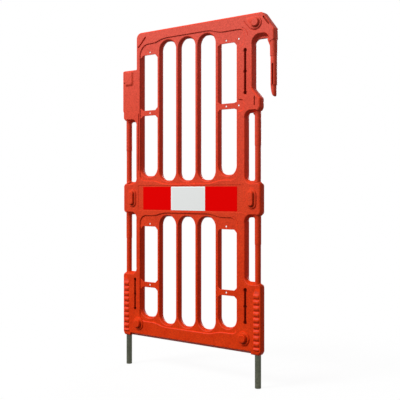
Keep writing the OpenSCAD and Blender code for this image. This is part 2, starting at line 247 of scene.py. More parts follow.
class Loop:
    """A closed outline with the outward direction, edge rounding and lean at every point."""

    def __init__(
        self, xz: np.ndarray, push: np.ndarray, edge: np.ndarray, lean: np.ndarray
    ) -> None:
        """Keeps the points, their outward offsets per millimetre, edge roundings and leans."""
        self.xz = xz
        self.push = push
        self.normal = push / np.linalg.norm(push, axis=1, keepdims=True)
        self.edge = edge
        self.lean = lean

    @classmethod
    def through(cls, corners: Sequence[Corner], turn: float = 9.0) -> "Loop":
        """Draws an outline through rounded corners, anticlockwise as seen from the front.

        Args:
            corners: The corners in order.
            turn: Degrees of arc between two points.

        Returns:
            The loop.
        """
        spots: list[tuple[float, float]] = []
        pushes: list[tuple[float, float]] = []
        edges: list[float] = []
        leans: list[float] = []
        places = [Vector((c.x, c.z)) for c in corners]
        for i, corner in enumerate(corners):
            here = places[i]
            way_in = (here - places[i - 1]).normalized()
            way_out = (places[(i + 1) % len(corners)] - here).normalized()
            bend = math.atan2(
                way_in.x * way_out.y - way_in.y * way_out.x, way_in.dot(way_out)
            )
            first = Vector((way_in.y, -way_in.x))
            if corner.r == 0 or abs(bend) < 0.002:
                last = Vector((way_out.y, -way_out.x))
                mitre = (first + last) / (1 + first.dot(last))
                spots.append((here.x, here.y))
                pushes.append((mitre.x, mitre.y))
                edges.append(corner.edge)
                leans.append(corner.lean)
                continue
            sense = 1 if bend > 0 else -1
            start = here - way_in * corner.r * math.tan(abs(bend) / 2)
            centre = start - first * corner.r * sense
            count = max(2, math.ceil(abs(math.degrees(bend)) / turn))
            after = corner.edge if corner.edge_after is None else corner.edge_after
            steeper = corner.lean if corner.lean_after is None else corner.lean_after
            for k in range(count + 1):
                angle = bend * k / count
                out = Vector(
                    (
                        first.x * math.cos(angle) - first.y * math.sin(angle),
                        first.x * math.sin(angle) + first.y * math.cos(angle),
                    )
                )
                spot = centre + out * corner.r * sense
                spots.append((spot.x, spot.y))
                pushes.append((out.x, out.y))
                edges.append(corner.edge + (after - corner.edge) * k / count)
                leans.append(corner.lean + (steeper - corner.lean) * k / count)
        return cls(np.array(spots), np.array(pushes), np.array(edges), np.array(leans))

    @classmethod
    def plain(
        cls, rows: Sequence[tuple[float, float, float]], edge: float, lean: float = 0.8
    ) -> "Loop":
        """Draws an outline through rows of x, z and r that share one edge rounding and lean."""
        return cls.through([Corner(x, z, r, edge, lean=lean) for x, z, r in rows])

    @classmethod
    def box(cls, x0: float, z0: float, x1: float, z1: float, r: float, edge: float) -> "Loop":
        """Returns a rectangle with its corners rounded by r."""
        return cls.plain([(x0, z0, r), (x1, z0, r), (x1, z1, r), (x0, z1, r)], edge, lean=0.0)

    @classmethod
    def circle(
        cls, x: float, z: float, r: float, edge: float, count: int = 40, lean: float = 0.0
    ) -> "Loop":
        """Returns a circle of radius r round a middle point."""
        angles = np.arange(count) / count * math.tau
        push = np.column_stack([np.cos(angles), np.sin(angles)])
        spots = push * r + np.array([x, z])
        return cls(spots, push, np.full(count, edge), np.full(count, lean))


def inside(points: np.ndarray, ring: np.ndarray) -> np.ndarray:
    """Tests which points lie inside a closed ring.

    Args:
        points: Points to test, one row each.
        ring: The ring's points in order.

    Returns:
        An array of truth values.
    """
    found = np.zeros(len(points), bool)
    ahead = np.roll(ring, -1, axis=0)
    for (ax, ay), (bx, by) in zip(ring, ahead):
        if ay == by:
            continue
        spans = (ay > points[:, 1]) != (by > points[:, 1])
        found ^= spans & (points[:, 0] < (bx - ax) * (points[:, 1] - ay) / (by - ay) + ax)
    return found


class Shell:
    """Gathers the rings and fills of one moulded piece, with a true normal at every point.

    A rounded edge has STEPS steps. Light and shade are painted per point. An edge that looks
    neither left nor up gets the first light-facing number as painted highlight, which grows by the
    second as the edge turns left or up, towards the key light. Below the pink-highlight height,
    ledges that look up get a further painted pink highlight, in full a fade distance lower down.
    """

    STEPS = 5
    # Painted highlight on edges that face the key light, from the left and above
    LIGHT_FACING = (0.1, 1.2)
    # Painted pink highlight on ledges that look up, below this height and fading in over the next
    # distance
    PINK_HIGHLIGHT_Z = 1900.0
    PINK_HIGHLIGHT_FADE = 400.0

    def __init__(self) -> None:
        """Starts with nothing in it."""
        self.spots: list[np.ndarray] = []
        self.normals: list[np.ndarray] = []
        self.painted_light_and_seal: list[np.ndarray] = []
        self.faces: list[tuple[int, ...]] = []
        self.count = 0

    def add(self, spots: np.ndarray, normals: np.ndarray, painted_light_and_seal: Any = 0.0) -> np.ndarray:
        """Adds points.

        Args:
            spots: Places, one row each.
            normals: Outward directions, one row each.
            painted_light_and_seal: Painted light per point, a highlight up to 1, a pink highlight
                up to 2 or shade down to -1, or on a film 1 for its sealed border; one number or one
                each.

        Returns:
            Their numbers.
        """
        self.spots.append(spots)
        self.normals.append(normals / np.linalg.norm(normals, axis=1, keepdims=True))
        self.painted_light_and_seal.append(np.broadcast_to(np.asarray(painted_light_and_seal, float), (len(spots),)).copy())
        self.count += len(spots)
        return np.arange(self.count - len(spots), self.count)

    def ring(
        self,
        loop: Loop,
        side: Side,
        inset: Any,
        y: Any,
        out: Any,
        facing: Any,
        painted_light_and_seal: float = 0.0,
    ) -> np.ndarray:
        """Adds a loop as a ring of points.

        Args:
            loop: The outline.
            side: Which side of it the plastic is on.
            inset: How far into the plastic the ring lies, one number or one per point.
            y: Depth of the ring, one number or one per point.
            out: Share of the normal that points out of the wall, one number or one per point.
            facing: Share of the normal along the depth, one number or one per point.
            painted_light_and_seal: Strength of the painted highlight that the ring gets where it
                looks left or up, towards the key light. Low down, a painted pink highlight is added
                where it looks up.

        Returns:
            The ring's point numbers.
        """
        count = len(loop.xz)
        shift, depth, out, facing = (
            np.broadcast_to(np.asarray(v, float), (count,)) for v in (inset, y, out, facing)
        )
        flat = loop.xz - side.value * loop.push * shift[:, None]
        way = side.value * loop.normal * out[:, None]
        right, up = side.value * loop.normal.T
        # Painted highlight on points that look left or up, towards the key light; low down, those
        # that look up get a further pink one
        pink_highlight = np.clip((self.PINK_HIGHLIGHT_Z - loop.xz[:, 1]) / self.PINK_HIGHLIGHT_FADE, 0, 1)
        base, gain = self.LIGHT_FACING
        facing_light = np.maximum(
            np.clip(base - gain * right, 0, 1), np.clip(base + gain * up, 0, 1) * (1 + pink_highlight)
        )
        return self.add(
            np.column_stack([flat[:, 0], depth, flat[:, 1]]),
            np.column_stack([way[:, 0], facing, way[:, 1]]),
            painted_light_and_seal * facing_light,
        )

    def join(self, first: np.ndarray, second: np.ndarray, skip: Sequence[int] = ()) -> None:
        """Joins two rings of equal count with quads, apart from the skipped stretches."""
        count = len(first)
        for i in range(count):
            if i not in skip:
                j = (i + 1) % count
                self.faces.append((first[i], first[j], second[j], second[i]))

    def bridge(self, rings: Sequence[np.ndarray]) -> None:
        """Joins every ring to the next."""
        for first, second in zip(rings, rings[1:]):
            self.join(first, second)

    def fill(
        self,
        outline: np.ndarray,
        openings: Sequence[np.ndarray] = (),
        axes: tuple[int, int] = (0, 2),
    ) -> None:
        """Fills the area between rings with triangles.

        Args:
            outline: The outer ring's point numbers.
            openings: Rings that stay open.
            axes: The two axes in which the area is drawn.
        """
        spots = np.concatenate(self.spots)
        rings = [np.asarray(outline), *[np.asarray(o) for o in openings]]
        numbers = np.concatenate(rings)
        flat = spots[numbers][:, axes]
        edges: list[tuple[int, int]] = []
        start = 0
        for ring in rings:
            size = len(ring)
            edges += [(start + i, start + (i + 1) % size) for i in range(size)]
            start += size
        made = delaunay_2d_cdt([Vector(p) for p in flat], edges, [], 1, 1e-6)
        corners = np.array([tuple(v) for v in made[0]])
        source = [numbers[o[0]] if o else -1 for o in made[3]]
        triangles = [f for f in made[2] if all(source[v] >= 0 for v in f)]
        middles = np.array([corners[list(f)].mean(axis=0) for f in triangles])
        keep = inside(middles, spots[rings[0]][:, axes])
        for ring in rings[1:]:
            keep &= ~inside(middles, spots[ring][:, axes])
        for triangle, kept in zip(triangles, keep):
            if kept:
                self.faces.append(tuple(source[v] for v in triangle))

    def edge(
        self,
        loop: Loop,
        side: Side,
        face_y: Any,
        facing: int,
        run: Any,
        edge_highlight: float = 1.0,
    ) -> list[np.ndarray]:
        """Rounds the edge between a flat face and a leaning wall.

        Args:
            loop: The wall's outline at its far end.
            side: Which side of it the plastic is on.
            face_y: Depth of the face.
            facing: FRONT or BACK, the way that the face looks.
            run: Distance along the depth over which the wall leans back.
            edge_highlight: Strength of the edge's painted highlight, from 0 to 1.

        Returns:
            The rings from the face to the wall.
        """
        rings = []
        size = loop.edge
        sweep = math.pi / 2 - np.arctan2(loop.lean, run)
        for k in range(self.STEPS + 1):
            angle = sweep * k / self.STEPS
            inset = loop.lean + size * (np.tan(sweep / 2) - np.sin(angle))
            y = face_y - facing * size * (1 - np.cos(angle))
            # Painted highlight, strongest half-way round the rounding
            painted_light_and_seal = edge_highlight * math.sin(math.pi * k / self.STEPS)
            rings.append(
                self.ring(loop, side, inset, y, np.sin(angle), facing * np.cos(angle), painted_light_and_seal)
            )
        self.bridge(rings)
        return rings

    def wall(
        self,
        loop: Loop,
        side: Side,
        front: float,
        back: float,
        parting: float | None = None,
        mouths: Sequence[int] = (),
        behind: Loop | None = None,
    ) -> dict[str, np.ndarray]:
        """Builds a wall from front to back, with rounded edges and a parting line between.

        Args:
            loop: The wall's outline at the parting line.
            side: Which side of it the plastic is on.
            front: Depth of the front face.
            back: Depth of the back face.
            parting: Depth of the parting line, half-way if none is given.
            mouths: Stretches that stay open between the rounded edges.
            behind: The same outline with the back's own edges, if they differ.

        Returns:
            The rings by name: front and back faces, both ends of the wall and the parting line.
        """
        middle = (front + back) / 2 if parting is None else parting
        named = {}
        for name, face_y, facing in (("front", front, FRONT), ("back", back, BACK)):
            run = abs(middle - face_y)
            drawn = behind if behind and facing == BACK else loop
            rings = self.edge(drawn, side, face_y, facing, run)
            slope = np.arctan2(drawn.lean, run)
            line = self.ring(drawn, side, 0.0, middle, np.cos(slope), facing * np.sin(slope))
            self.join(rings[-1], line, mouths)
            named[name] = rings[0]
            named[name + "_wall"] = rings[-1]
            named[name + "_parting"] = line
        return named

    def slab(
        self,
        loop: Loop,
        front: float,
        back: float,
        holes: Sequence[Loop] = (),
        waist: float | None = None,
    ) -> None:
        """Builds a flat plate with rounded edges.

        Args:
            loop: Its outline.
            front: Depth of its front face.
            back: Depth of its back face.
            holes: The outlines of the holes through it.
            waist: Depth at which the holes are narrowest, half-way if none is given.
        """
        rim = self.wall(loop, Side.OUTLINE, front, back)
        bores = [self.wall(hole, Side.OPENING, front, back, waist) for hole in holes]
        for face in ("front", "back"):
            self.fill(rim[face], [bore[face] for bore in bores])

    def sink(
        self,
        loop: Loop,
        face_y: float,
        facing: int,
        depth: float,
        foot: float = 1.0,
        lean: float = 8.0,
        low_lean: float = 8.0,
        grime: float = 0.0,
    ) -> tuple[np.ndarray, np.ndarray]:
        """Builds the sloping side of a recess, rounded at its rim and at its foot.

        Args:
            loop: The recess's outline half-way down its side.
            face_y: Depth of the face that it is sunk into.
            facing: FRONT or BACK, the way that the face looks.
            depth: How deep the recess is.
            foot: The foot's rounding as a share of the rim's.
            lean: Slope of the side in degrees.
            low_lean: Slope of the side where it looks up.
            grime: Strength of the painted shade on the recess's foot and floor, from 0 to 1; the
                rim's painted highlight is dimmed as much.

        Returns:
            The ring at the rim and the ring at the floor.
        """
        slope = np.radians(lean + (low_lean - lean) * np.clip(-loop.normal[:, 1], 0, 1))
        sweep = math.pi / 2 - slope
        rim_r = loop.edge
        foot_r = loop.edge * foot
        straight = depth - (rim_r + foot_r) * (1 - np.sin(slope))
        half = straight * np.tan(slope) / 2
        rings = []
        for k in range(self.STEPS + 1):
            angle = sweep * k / self.STEPS
            inset = half + rim_r * (np.cos(slope) - np.sin(angle))
            y = face_y - facing * rim_r * (1 - np.cos(angle))
            # Painted highlight on the rim, dimmed where the recess is painted dark
            painted_light_and_seal = (1 - grime) * np.sin(2 * angle)
            rings.append(
                self.ring(loop, Side.OPENING, inset, y, np.sin(angle), facing * np.cos(angle), painted_light_and_seal)
            )
        for k in range(self.STEPS + 1):
            angle = sweep * (1 - k / self.STEPS)
            inset = -half - foot_r * (np.cos(slope) - np.sin(angle))
            y = face_y - facing * (depth - foot_r * (1 - np.cos(angle)))
            rings.append(
                self.ring(loop, Side.OPENING, inset, y, np.sin(angle), facing * np.cos(angle))
            )
            # Painted shade on the foot and floor
            self.painted_light_and_seal[-1][:] = -grime
        self.bridge(rings)
        return rings[0], rings[-1]

    def pit(self, loop: Loop, face_y: float, facing: int, depth: float, **how: Any) -> np.ndarray:
        """Builds a recess with a flat floor and returns the ring at its rim."""
        rim, floor = self.sink(loop, face_y, facing, depth, **how)
        self.fill(floor)
        return rim

    def boss(
        self, loop: Loop, foot_y: Any, top_y: Any, lean: float = 0.0
    ) -> tuple[np.ndarray, np.ndarray]:
        """Builds the side of a raised part of the front, rounded at its top.

        Args:
            loop: The outline at its foot.
            foot_y: Depth of its foot.
            top_y: Depth of its top.
            lean: How far its side leans in.

        Returns:
            The ring at the foot and the ring at the top.
        """
        run = abs(np.asarray(foot_y) - np.asarray(top_y))
        drawn = Loop(loop.xz, loop.push, loop.edge, np.full(len(loop.xz), lean))
        slope = np.arctan2(drawn.lean, run)
        foot = self.ring(drawn, Side.OUTLINE, 0.0, foot_y, np.cos(slope), -np.sin(slope))
        # Its top edge gets a weak painted highlight
        rings = self.edge(drawn, Side.OUTLINE, top_y, FRONT, run, edge_highlight=0.3)
        self.join(foot, rings[-1])
        return foot, rings[0]

    def grid(self, spots: np.ndarray, hint: np.ndarray) -> np.ndarray:
        """Adds a grid of points as a surface, with normals worked out from its slopes.

        Args:
            spots: Rows of rows of places.
            hint: A rough outward direction for every column.

        Returns:
            The point numbers, as rows.
        """
        normals = np.cross(np.gradient(spots, axis=0), np.gradient(spots, axis=1))
        flip = np.sign((normals * hint[None]).sum(axis=2))
        normals = normals * flip[:, :, None]
        normals[[0, -1]] = hint
        normals[:, [0, -1]] = hint[[0, -1]]
        numbers = self.add(spots.reshape(-1, 3), normals.reshape(-1, 3)).reshape(spots.shape[:2])
        for first, second in zip(numbers, numbers[1:]):
            for i in range(len(first) - 1):
                self.faces.append((first[i], first[i + 1], second[i + 1], second[i]))
        return numbers

    def lathe(self, x: float, y: float, rows: Sequence[tuple], count: int = 48) -> list[np.ndarray]:
        """Turns a profile about an upright axis.

        Args:
            x: Sideways place of the axis.
            y: Depth of the axis.
            rows: Radius, height, outward share and upward share of the normal, row by row.
            count: Points round the axis.

        Returns:
            The rings, in the order of the rows.
        """
        angles = np.arange(count) / count * math.tau
        way = np.column_stack([np.cos(angles), np.sin(angles)])
        rings = []
        for r, z, out, up in rows:
            spots = np.column_stack([way * r + np.array([x, y]), np.full(count, z)])
            rings.append(self.add(spots, np.column_stack([way * out, np.full(count, up)])))
        self.bridge(rings)
        return rings

    def make(
        self, name: str, finish: "Finish", nodes: Sequence[str], crease: float | None = None
    ) -> bpy.types.Object:
        """Makes the piece and hands it to the frame.

        Args:
            name: The piece's name.
            finish: Its finish.
            nodes: The CAD nodes that it stands for.
            crease: Degrees from which an edge is sharp, where the faces give the normals.

        Returns:
            The piece.
        """
        spots = np.concatenate(self.spots)
        normals = np.concatenate(self.normals)
        turned = []
        for face in self.faces:
            a, b, c, d = (spots[face[k]] for k in (0, 1, 2, -1))
            across = np.cross(c - a, d - b)
            meant = normals[list(face)].sum(axis=0)
            turned.append(tuple(face) if across @ meant >= 0 else tuple(reversed(face)))
        mesh = bpy.data.meshes.new(name)
        mesh.from_pydata(to_row(spots).tolist(), [], [[int(v) for v in f] for f in turned])
        mesh.shade_smooth()
        if crease is None:
            mesh.normals_split_custom_set_from_vertices(normals.tolist())
        else:
            mesh.set_sharp_from_angle(angle=math.radians(crease))
        # Painted light per point, or on a film its sealed border
        painted_light_and_seal = mesh.attributes.new("painted_light_and_seal", "FLOAT", "POINT")
        painted_light_and_seal.data.foreach_set("value", np.concatenate(self.painted_light_and_seal).astype(np.float32))
        return hand_over(mesh, name, finish, nodes)


def hand_over(
    mesh: bpy.types.Mesh, name: str, finish: "Finish", nodes: Sequence[str]
) -> bpy.types.Object:
    """Puts a finished mesh into the scene as a piece of the part.

    Args:
        mesh: The mesh, in row-frame metres.
        name: The piece's name.
        finish: Its finish.
        nodes: The CAD nodes that it stands for.

    Returns:
        The piece.
    """
    piece = bpy.data.objects.new(name, mesh)
    bpy.context.scene.collection.objects.link(piece)
    mesh.materials.clear()
    mesh.materials.append(finish.material())
    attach(piece, BODY)
    if nodes:
        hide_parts(*nodes)
    LOG.info("%s: %d faces, for %s", name, len(mesh.polygons), ", ".join(nodes) or "no node")
    return piece


@dataclass(frozen=True)
class Finish:
    """A surface finish and its colours; the record slot's name is kept but not used."""

    name: str
    slot: str

    def material(self) -> bpy.types.Material:
        """Returns the finish's material, built at its first use."""
        known = bpy.data.materials.get(self.name)
        if known:
            return known
        made = bpy.data.materials.new(self.name)
        made.use_nodes = True
        self.dress(made.node_tree, made.node_tree.nodes["Principled BSDF"])
        return made

    def dress(self, tree: Any, shader: Any) -> None:
        """Adds the finish's nodes to a new material."""
        raise NotImplementedError


@dataclass(frozen=True)
class MouldedPolyethylene(Finish):
    """High-density polyethylene, moulded in a lightly blasted mould.

    It is satin and a little waxy, with a fine grain and slow waves where the wall cooled unevenly.
    Light and shade are painted into its colour: a pale sheen on faces that look forward, growing
    towards the top; highlights on edges that look left or up, towards the key light, and pink ones
    on ledges lower down; and shade in narrow grooves and pits and under the grip ribs.
    """

    deep: str = "#d2340c"
    pale: str = "#db3c11"
    # The next four colours are painted light: a pale sheen on faces that look forward, a highlight
    # on edges that face the key light, a pink highlight on ledges lower down and shade in grooves
    # and under ribs.
    painted_sheen: str = "#da5647"
    painted_edge_highlight: str = "#f23c12"
    painted_pink_highlight: str = "#d94b38"
    painted_groove_shade: str = "#802210"
    wave_mm: float = 80.0
    # The real grain is about 0.5 mm; it is drawn coarser so that it shows in the picture
    grain_mm: float = 7.0

    def dress(self, tree: Any, shader: Any) -> None:
        """Adds the finish's nodes to a new material."""
        coordinates = wire(tree, "ShaderNodeTexCoord").outputs
        place = coordinates["Object"]
        waves = wire(
            tree,
            "ShaderNodeTexNoise",
            {"Vector": place, "Scale": METRE / self.wave_mm, "Detail": 3.0},
        ).outputs["Fac"]
        grain = wire(
            tree,
            "ShaderNodeTexNoise",
            {"Vector": place, "Scale": METRE / self.grain_mm, "Detail": 2.0, "Roughness": 0.6},
        ).outputs["Fac"]
        height = wire(tree, "ShaderNodeSeparateXYZ", {"Vector": place}).outputs["Z"]
        # Painted sheen: faces that look forward grow paler towards the top, standing in for a
        # reflection of the bright surroundings; edges and walls keep the deep colour.
        way = wire(tree, "ShaderNodeSeparateXYZ", {"Vector": coordinates["Normal"]}).outputs["Y"]
        flat = ramp(tree, reckon(tree, "ABSOLUTE", way), 0.82, 0.985, 0.65)
        sheen_share = reckon(tree, "POWER", ramp(tree, height, 0.2, 1.9), 2.0)
        sheen_share = reckon(tree, "MULTIPLY", sheen_share, flat)
        base = blend(tree, ramp(tree, waves, 0.35, 0.65), linear(self.deep), linear(self.pale))
        sheened = blend(tree, sheen_share, base, linear(self.painted_sheen))
        # Painted light: edge highlight up to 1, pink ledge highlight up to 2, shade down to -1
        painted_light_and_seal = wire(tree, "ShaderNodeAttribute", attribute_name="painted_light_and_seal").outputs["Fac"]
        patchy = ramp(tree, waves, 0.3, 0.6, 0.8)
        # Painted highlight on edges that face the key light, patchy with the waves
        edge_highlight = reckon(tree, "MULTIPLY", ramp(tree, painted_light_and_seal, 0.0, 0.6), patchy)
        edge_lit = blend(tree, edge_highlight, sheened, linear(self.painted_edge_highlight))
        # Painted pink highlight on ledges that look up
        ledge_lit = blend(tree, ramp(tree, painted_light_and_seal, 0.9, 1.6), edge_lit, linear(self.painted_pink_highlight))
        # Painted shade in grooves, pits and under the ribs
        groove_shaded = blend(tree, ramp(tree, painted_light_and_seal, 0.0, -1.0), ledge_lit, linear(self.painted_groove_shade))
        speck = ramp(tree, grain, 0.3, 0.7, 0.8, 1.2)
        colour = wire(
            tree, "ShaderNodeVectorMath", {0: groove_shaded, 1: speck}, operation="MULTIPLY"
        ).outputs[0]
        rough = ramp(tree, waves, 0.3, 0.7, 0.4, 0.52)
        soft = wire(
            tree, "ShaderNodeBump", {"Height": waves, "Strength": 0.25, "Distance": 0.002}
        ).outputs["Normal"]
        fine = wire(
            tree,
            "ShaderNodeBump",
            {"Height": grain, "Normal": soft, "Strength": 0.2, "Distance": 0.0008},
        ).outputs["Normal"]
        tree.links.new(colour, shader.inputs["Base Color"])
        tree.links.new(rough, shader.inputs["Roughness"])
        tree.links.new(fine, shader.inputs["Normal"])
        shader.inputs["Specular IOR Level"].default_value = 0.05


@dataclass(frozen=True)
class GalvanisedTube(Finish):
    """Hot-dip galvanised steel tube that has gone dull: faint spangle and run marks along it."""

    dark: str = "#4d4f43"
    light: str = "#6e705d"
    spangle_mm: float = 9.0
    run_mm: float = 14.0

    def dress(self, tree: Any, shader: Any) -> None:
        """Adds the finish's nodes to a new material."""
        place = wire(tree, "ShaderNodeTexCoord").outputs["Object"]
        spangle = wire(
            tree,
            "ShaderNodeTexVoronoi",
            {"Vector": place, "Scale": METRE / self.spangle_mm},
        ).outputs["Color"]
        stretched = wire(
            tree, "ShaderNodeMapping", {"Vector": place, "Scale": (1.0, 1.0, 0.08)}
        ).outputs["Vector"]
        runs = wire(
            tree,
            "ShaderNodeTexNoise",
            {"Vector": stretched, "Scale": METRE / self.run_mm, "Detail": 4.0},
        ).outputs["Fac"]
        flake = wire(tree, "ShaderNodeSeparateColor", {"Color": spangle}).outputs["Red"]
        both = reckon(tree, "MULTIPLY", flake, runs)
        shade = blend(tree, both, linear(self.dark), linear(self.light))
        rough = ramp(tree, flake, to_low=0.42, to_high=0.6)
        bump = wire(
            tree, "ShaderNodeBump", {"Height": runs, "Strength": 0.2, "Distance": 0.0006}
        ).outputs["Normal"]
        tree.links.new(shade, shader.inputs["Base Color"])
        tree.links.new(rough, shader.inputs["Roughness"])
        tree.links.new(bump, shader.inputs["Normal"])
        shader.inputs["Metallic"].default_value = 0.85


@dataclass(frozen=True)
class ReflectiveSheeting(Finish):
    """Retroreflective sheeting: a clear glossy face over a honeycomb of sealed cells."""

    face: str = "#e60000"
    seam: str = "#df0000"
    border: str = "#e30000"
    # The real cells are about 3 mm; they are drawn wider so that they show in the picture
    cell_mm: float = 7.0

    def dress(self, tree: Any, shader: Any) -> None:
        """Adds the finish's nodes to a new material."""
        place = wire(tree, "ShaderNodeTexCoord").outputs["Object"]
        cells = wire(
            tree,
            "ShaderNodeTexVoronoi",
            {"Vector": place, "Scale": METRE / self.cell_mm, "Randomness": 0.15},
            feature="DISTANCE_TO_EDGE",
        ).outputs["Distance"]
        floor = ramp(tree, cells, 0.0, 0.12)
        tint = blend(tree, floor, linear(self.seam), linear(self.face))
        bump = wire(
            tree, "ShaderNodeBump", {"Height": floor, "Strength": 0.1, "Distance": 0.0003}
        ).outputs["Normal"]
        seal = wire(tree, "ShaderNodeAttribute", attribute_name="painted_light_and_seal").outputs["Fac"]
        sealed = blend(tree, seal, tint, linear(self.border))
        tree.links.new(sealed, shader.inputs["Base Color"])
        tree.links.new(bump, shader.inputs["Normal"])
        shader.inputs["Roughness"].default_value = 0.45
        shader.inputs["Specular IOR Level"].default_value = 0.02


PLASTIC = MouldedPolyethylene("moulded_polyethylene_orange_red", "red_plastic")
STEEL = GalvanisedTube("galvanised_steel_tube_dull", "steel_tube")
RED_SHEET = ReflectiveSheeting("retroreflective_sheeting_red", "red_film")
WHITE_SHEET = ReflectiveSheeting(
    "retroreflective_sheeting_white",
    "white_film",
    face="#e8eae9",
    seam="#e2e5e4",
    border="#f2ffff",
)


@dataclass
class SlotField:
    """One of the two recessed fields with its five slots.

    bar_right moves a slot to the right and bar_left narrows it from its right side; left_gain gives
    some of that back, step by step, left of the middle. first_left, last_left and last_right move
    the outer sides. pocket_w and ground_w are how far the pocket and the ground of an eyelet in the
    frame reach past the last slot.
    """

    name: str
    slot_z0: float
    slot_z1: float
    outer_lift: float
    field_z0: float
    field_z1: float
    field_step: float
    plate: Box
    frame_eyelets: tuple[float, ...] = ()
    low_lean: float = 10.0
    top_lean: float = 8.0
    slot_r: float = 56.0
    slot_edge: float = 4.2
    top_edge: float = 4.2
    bar_left: float = 3.5
    bar_right: float = 1.8
    left_gain: float = 0.85
    first_left: float = 3.8
    last_left: float = 1.8
    last_right: float = 1.9
    side_lean: float = 0.8
    rim_edge: float = 1.8
    rim_gap: float = 0.8
    shared_edge: float = 0.4
    s_curve: tuple[float, float] = (32.0, 102.0)
    s_bend: float = 150.0
    field_r: float = 48.0
    plate_h: float = 40.0
    pocket_w: float = 26.0
    ground_w: float = 54.5
    bars: list[Box] = field(default_factory=list)

    def __post_init__(self) -> None:
        """Measures the bars, which give the slots' width and spacing."""
        self.bars = [cad(f"{self.name}_bar_{i}") for i in (1, 2, 3, 4)]
        self.pitch = (self.bars[3].x - self.bars[0].x) / 3
        self.middle = (self.bars[3].x + self.bars[0].x) / 2
        self.slot_w = self.pitch - (self.bars[0].x1 - self.bars[0].x0)
        self.x0 = self.middle - 2 * self.pitch - self.slot_w / 2 - self.first_left
        self.x1 = self.middle + 2 * self.pitch + self.slot_w / 2 - self.last_right

    def slot(self, i: int) -> Loop:
        """Draws a slot.

        Args:
            i: The slot's number, from -2 at the left to 2 at the right.

        Returns:
            Its outline.
        """
        x0 = self.middle + i * self.pitch - self.slot_w / 2 + self.bar_right
        x1 = x0 + self.slot_w - (self.bar_left + self.left_gain * min(i, 0))
        if i == -2:
            x0 = self.x0
        if i == 2:
            x0, x1 = x0 + self.last_left, self.x1
        r, edge, side = self.slot_r, self.slot_edge, self.side_lean
        inner = abs(i) < 2
        low = self.slot_z0 + (0 if inner else self.outer_lift)
        near = self.shared_edge if i == -2 else edge
        corners = [
            Corner(x0, low, r, near, edge, side, self.low_lean),
            Corner(x1, low, r, edge, edge, self.low_lean, side),
        ]
        if inner:
            top = self.slot_z1
            corners += [
                Corner(x1, top, r, edge, self.top_edge, side, self.top_lean),
                Corner(x0, top, r, self.top_edge, edge, self.top_lean, side),
            ]
            return Loop.through(corners)
        top = self.plate.z1
        if i == -2:
            corners += [Corner(x1, top, 24, edge), Corner(x0, top, 45, edge, near)]
            return Loop.through(corners)
        reach = x1 + self.pocket_w
        for z in self.frame_eyelets:
            corners += [Corner(x1, z - 16, 5, edge), Corner(reach, z - 14, 10, edge)]
            if z < self.plate.z0:
                corners += [Corner(reach, z + 14, 10, edge), Corner(x1, z + 16, 5, edge)]
        right = reach if self.frame_eyelets else x1
        corners += [Corner(right, top, 12, edge), Corner(x0, top, 24, edge)]
        return Loop.through(corners)

    @property
    def curl(self) -> list[tuple[float, float]]:
        """Path of the groove that carries the rim's line on round the top right corner."""
        r = 44.0
        right = self.x1 + (78 if self.frame_eyelets else 15)
        x, z = right - r, self.field_z1 - self.field_step + 5 - r
        turns = np.radians(np.arange(80, -1, -10))
        return [(x + r * math.cos(a), z + r * math.sin(a)) for a in turns]

    def rim(self) -> Loop:
        """Returns the boundary of the recess, with its S-curves and the ground of its eyelets."""
        edge, near = self.rim_edge, self.shared_edge
        x0 = self.x0 - self.side_lean - 2 * near - self.rim_gap
        x1 = self.x1 + 9.5
        low, high = self.field_z0 + self.field_step, self.field_z1 - self.field_step
        half = self.pitch + self.slot_w / 2
        out, back = self.s_curve
        left, right = self.middle - half - out, self.middle + half + out
        bend = self.s_bend
        corners = [
            Corner(x0, low, 40, near, edge),
            Corner(left, low, bend, edge),
            Corner(left + back - out, self.field_z0, bend, edge),
            Corner(right - back + out, self.field_z0, bend, edge),
            Corner(right, low, bend, edge),
            Corner(x1, low, 40, edge),
        ]
        reach = self.x1 + self.ground_w
        for z in self.frame_eyelets:
            if z < self.plate.z0:
                corners += [
                    Corner(x1, z - 34, 8, edge),
                    Corner(reach, z - 30, 24, edge),
                    Corner(reach, z + 30, 24, edge),
                    Corner(x1, z + 34, 8, edge),
                ]
            else:
                corners += [Corner(x1, z - 64, 24, edge), Corner(reach, z - 34, 24, edge)]
        far = reach + 4 if self.frame_eyelets else x1
        corners += [
            Corner(far, high, 34 if self.frame_eyelets else self.field_r, edge),
            Corner(right, high, bend, edge),
            Corner(right - back + out, self.field_z1, bend, edge),
            Corner(left + back - out, self.field_z1, bend, edge),
            Corner(left, high, bend, edge),
            Corner(x0, high, self.field_r, edge, near),
        ]
        return Loop.through(corners)


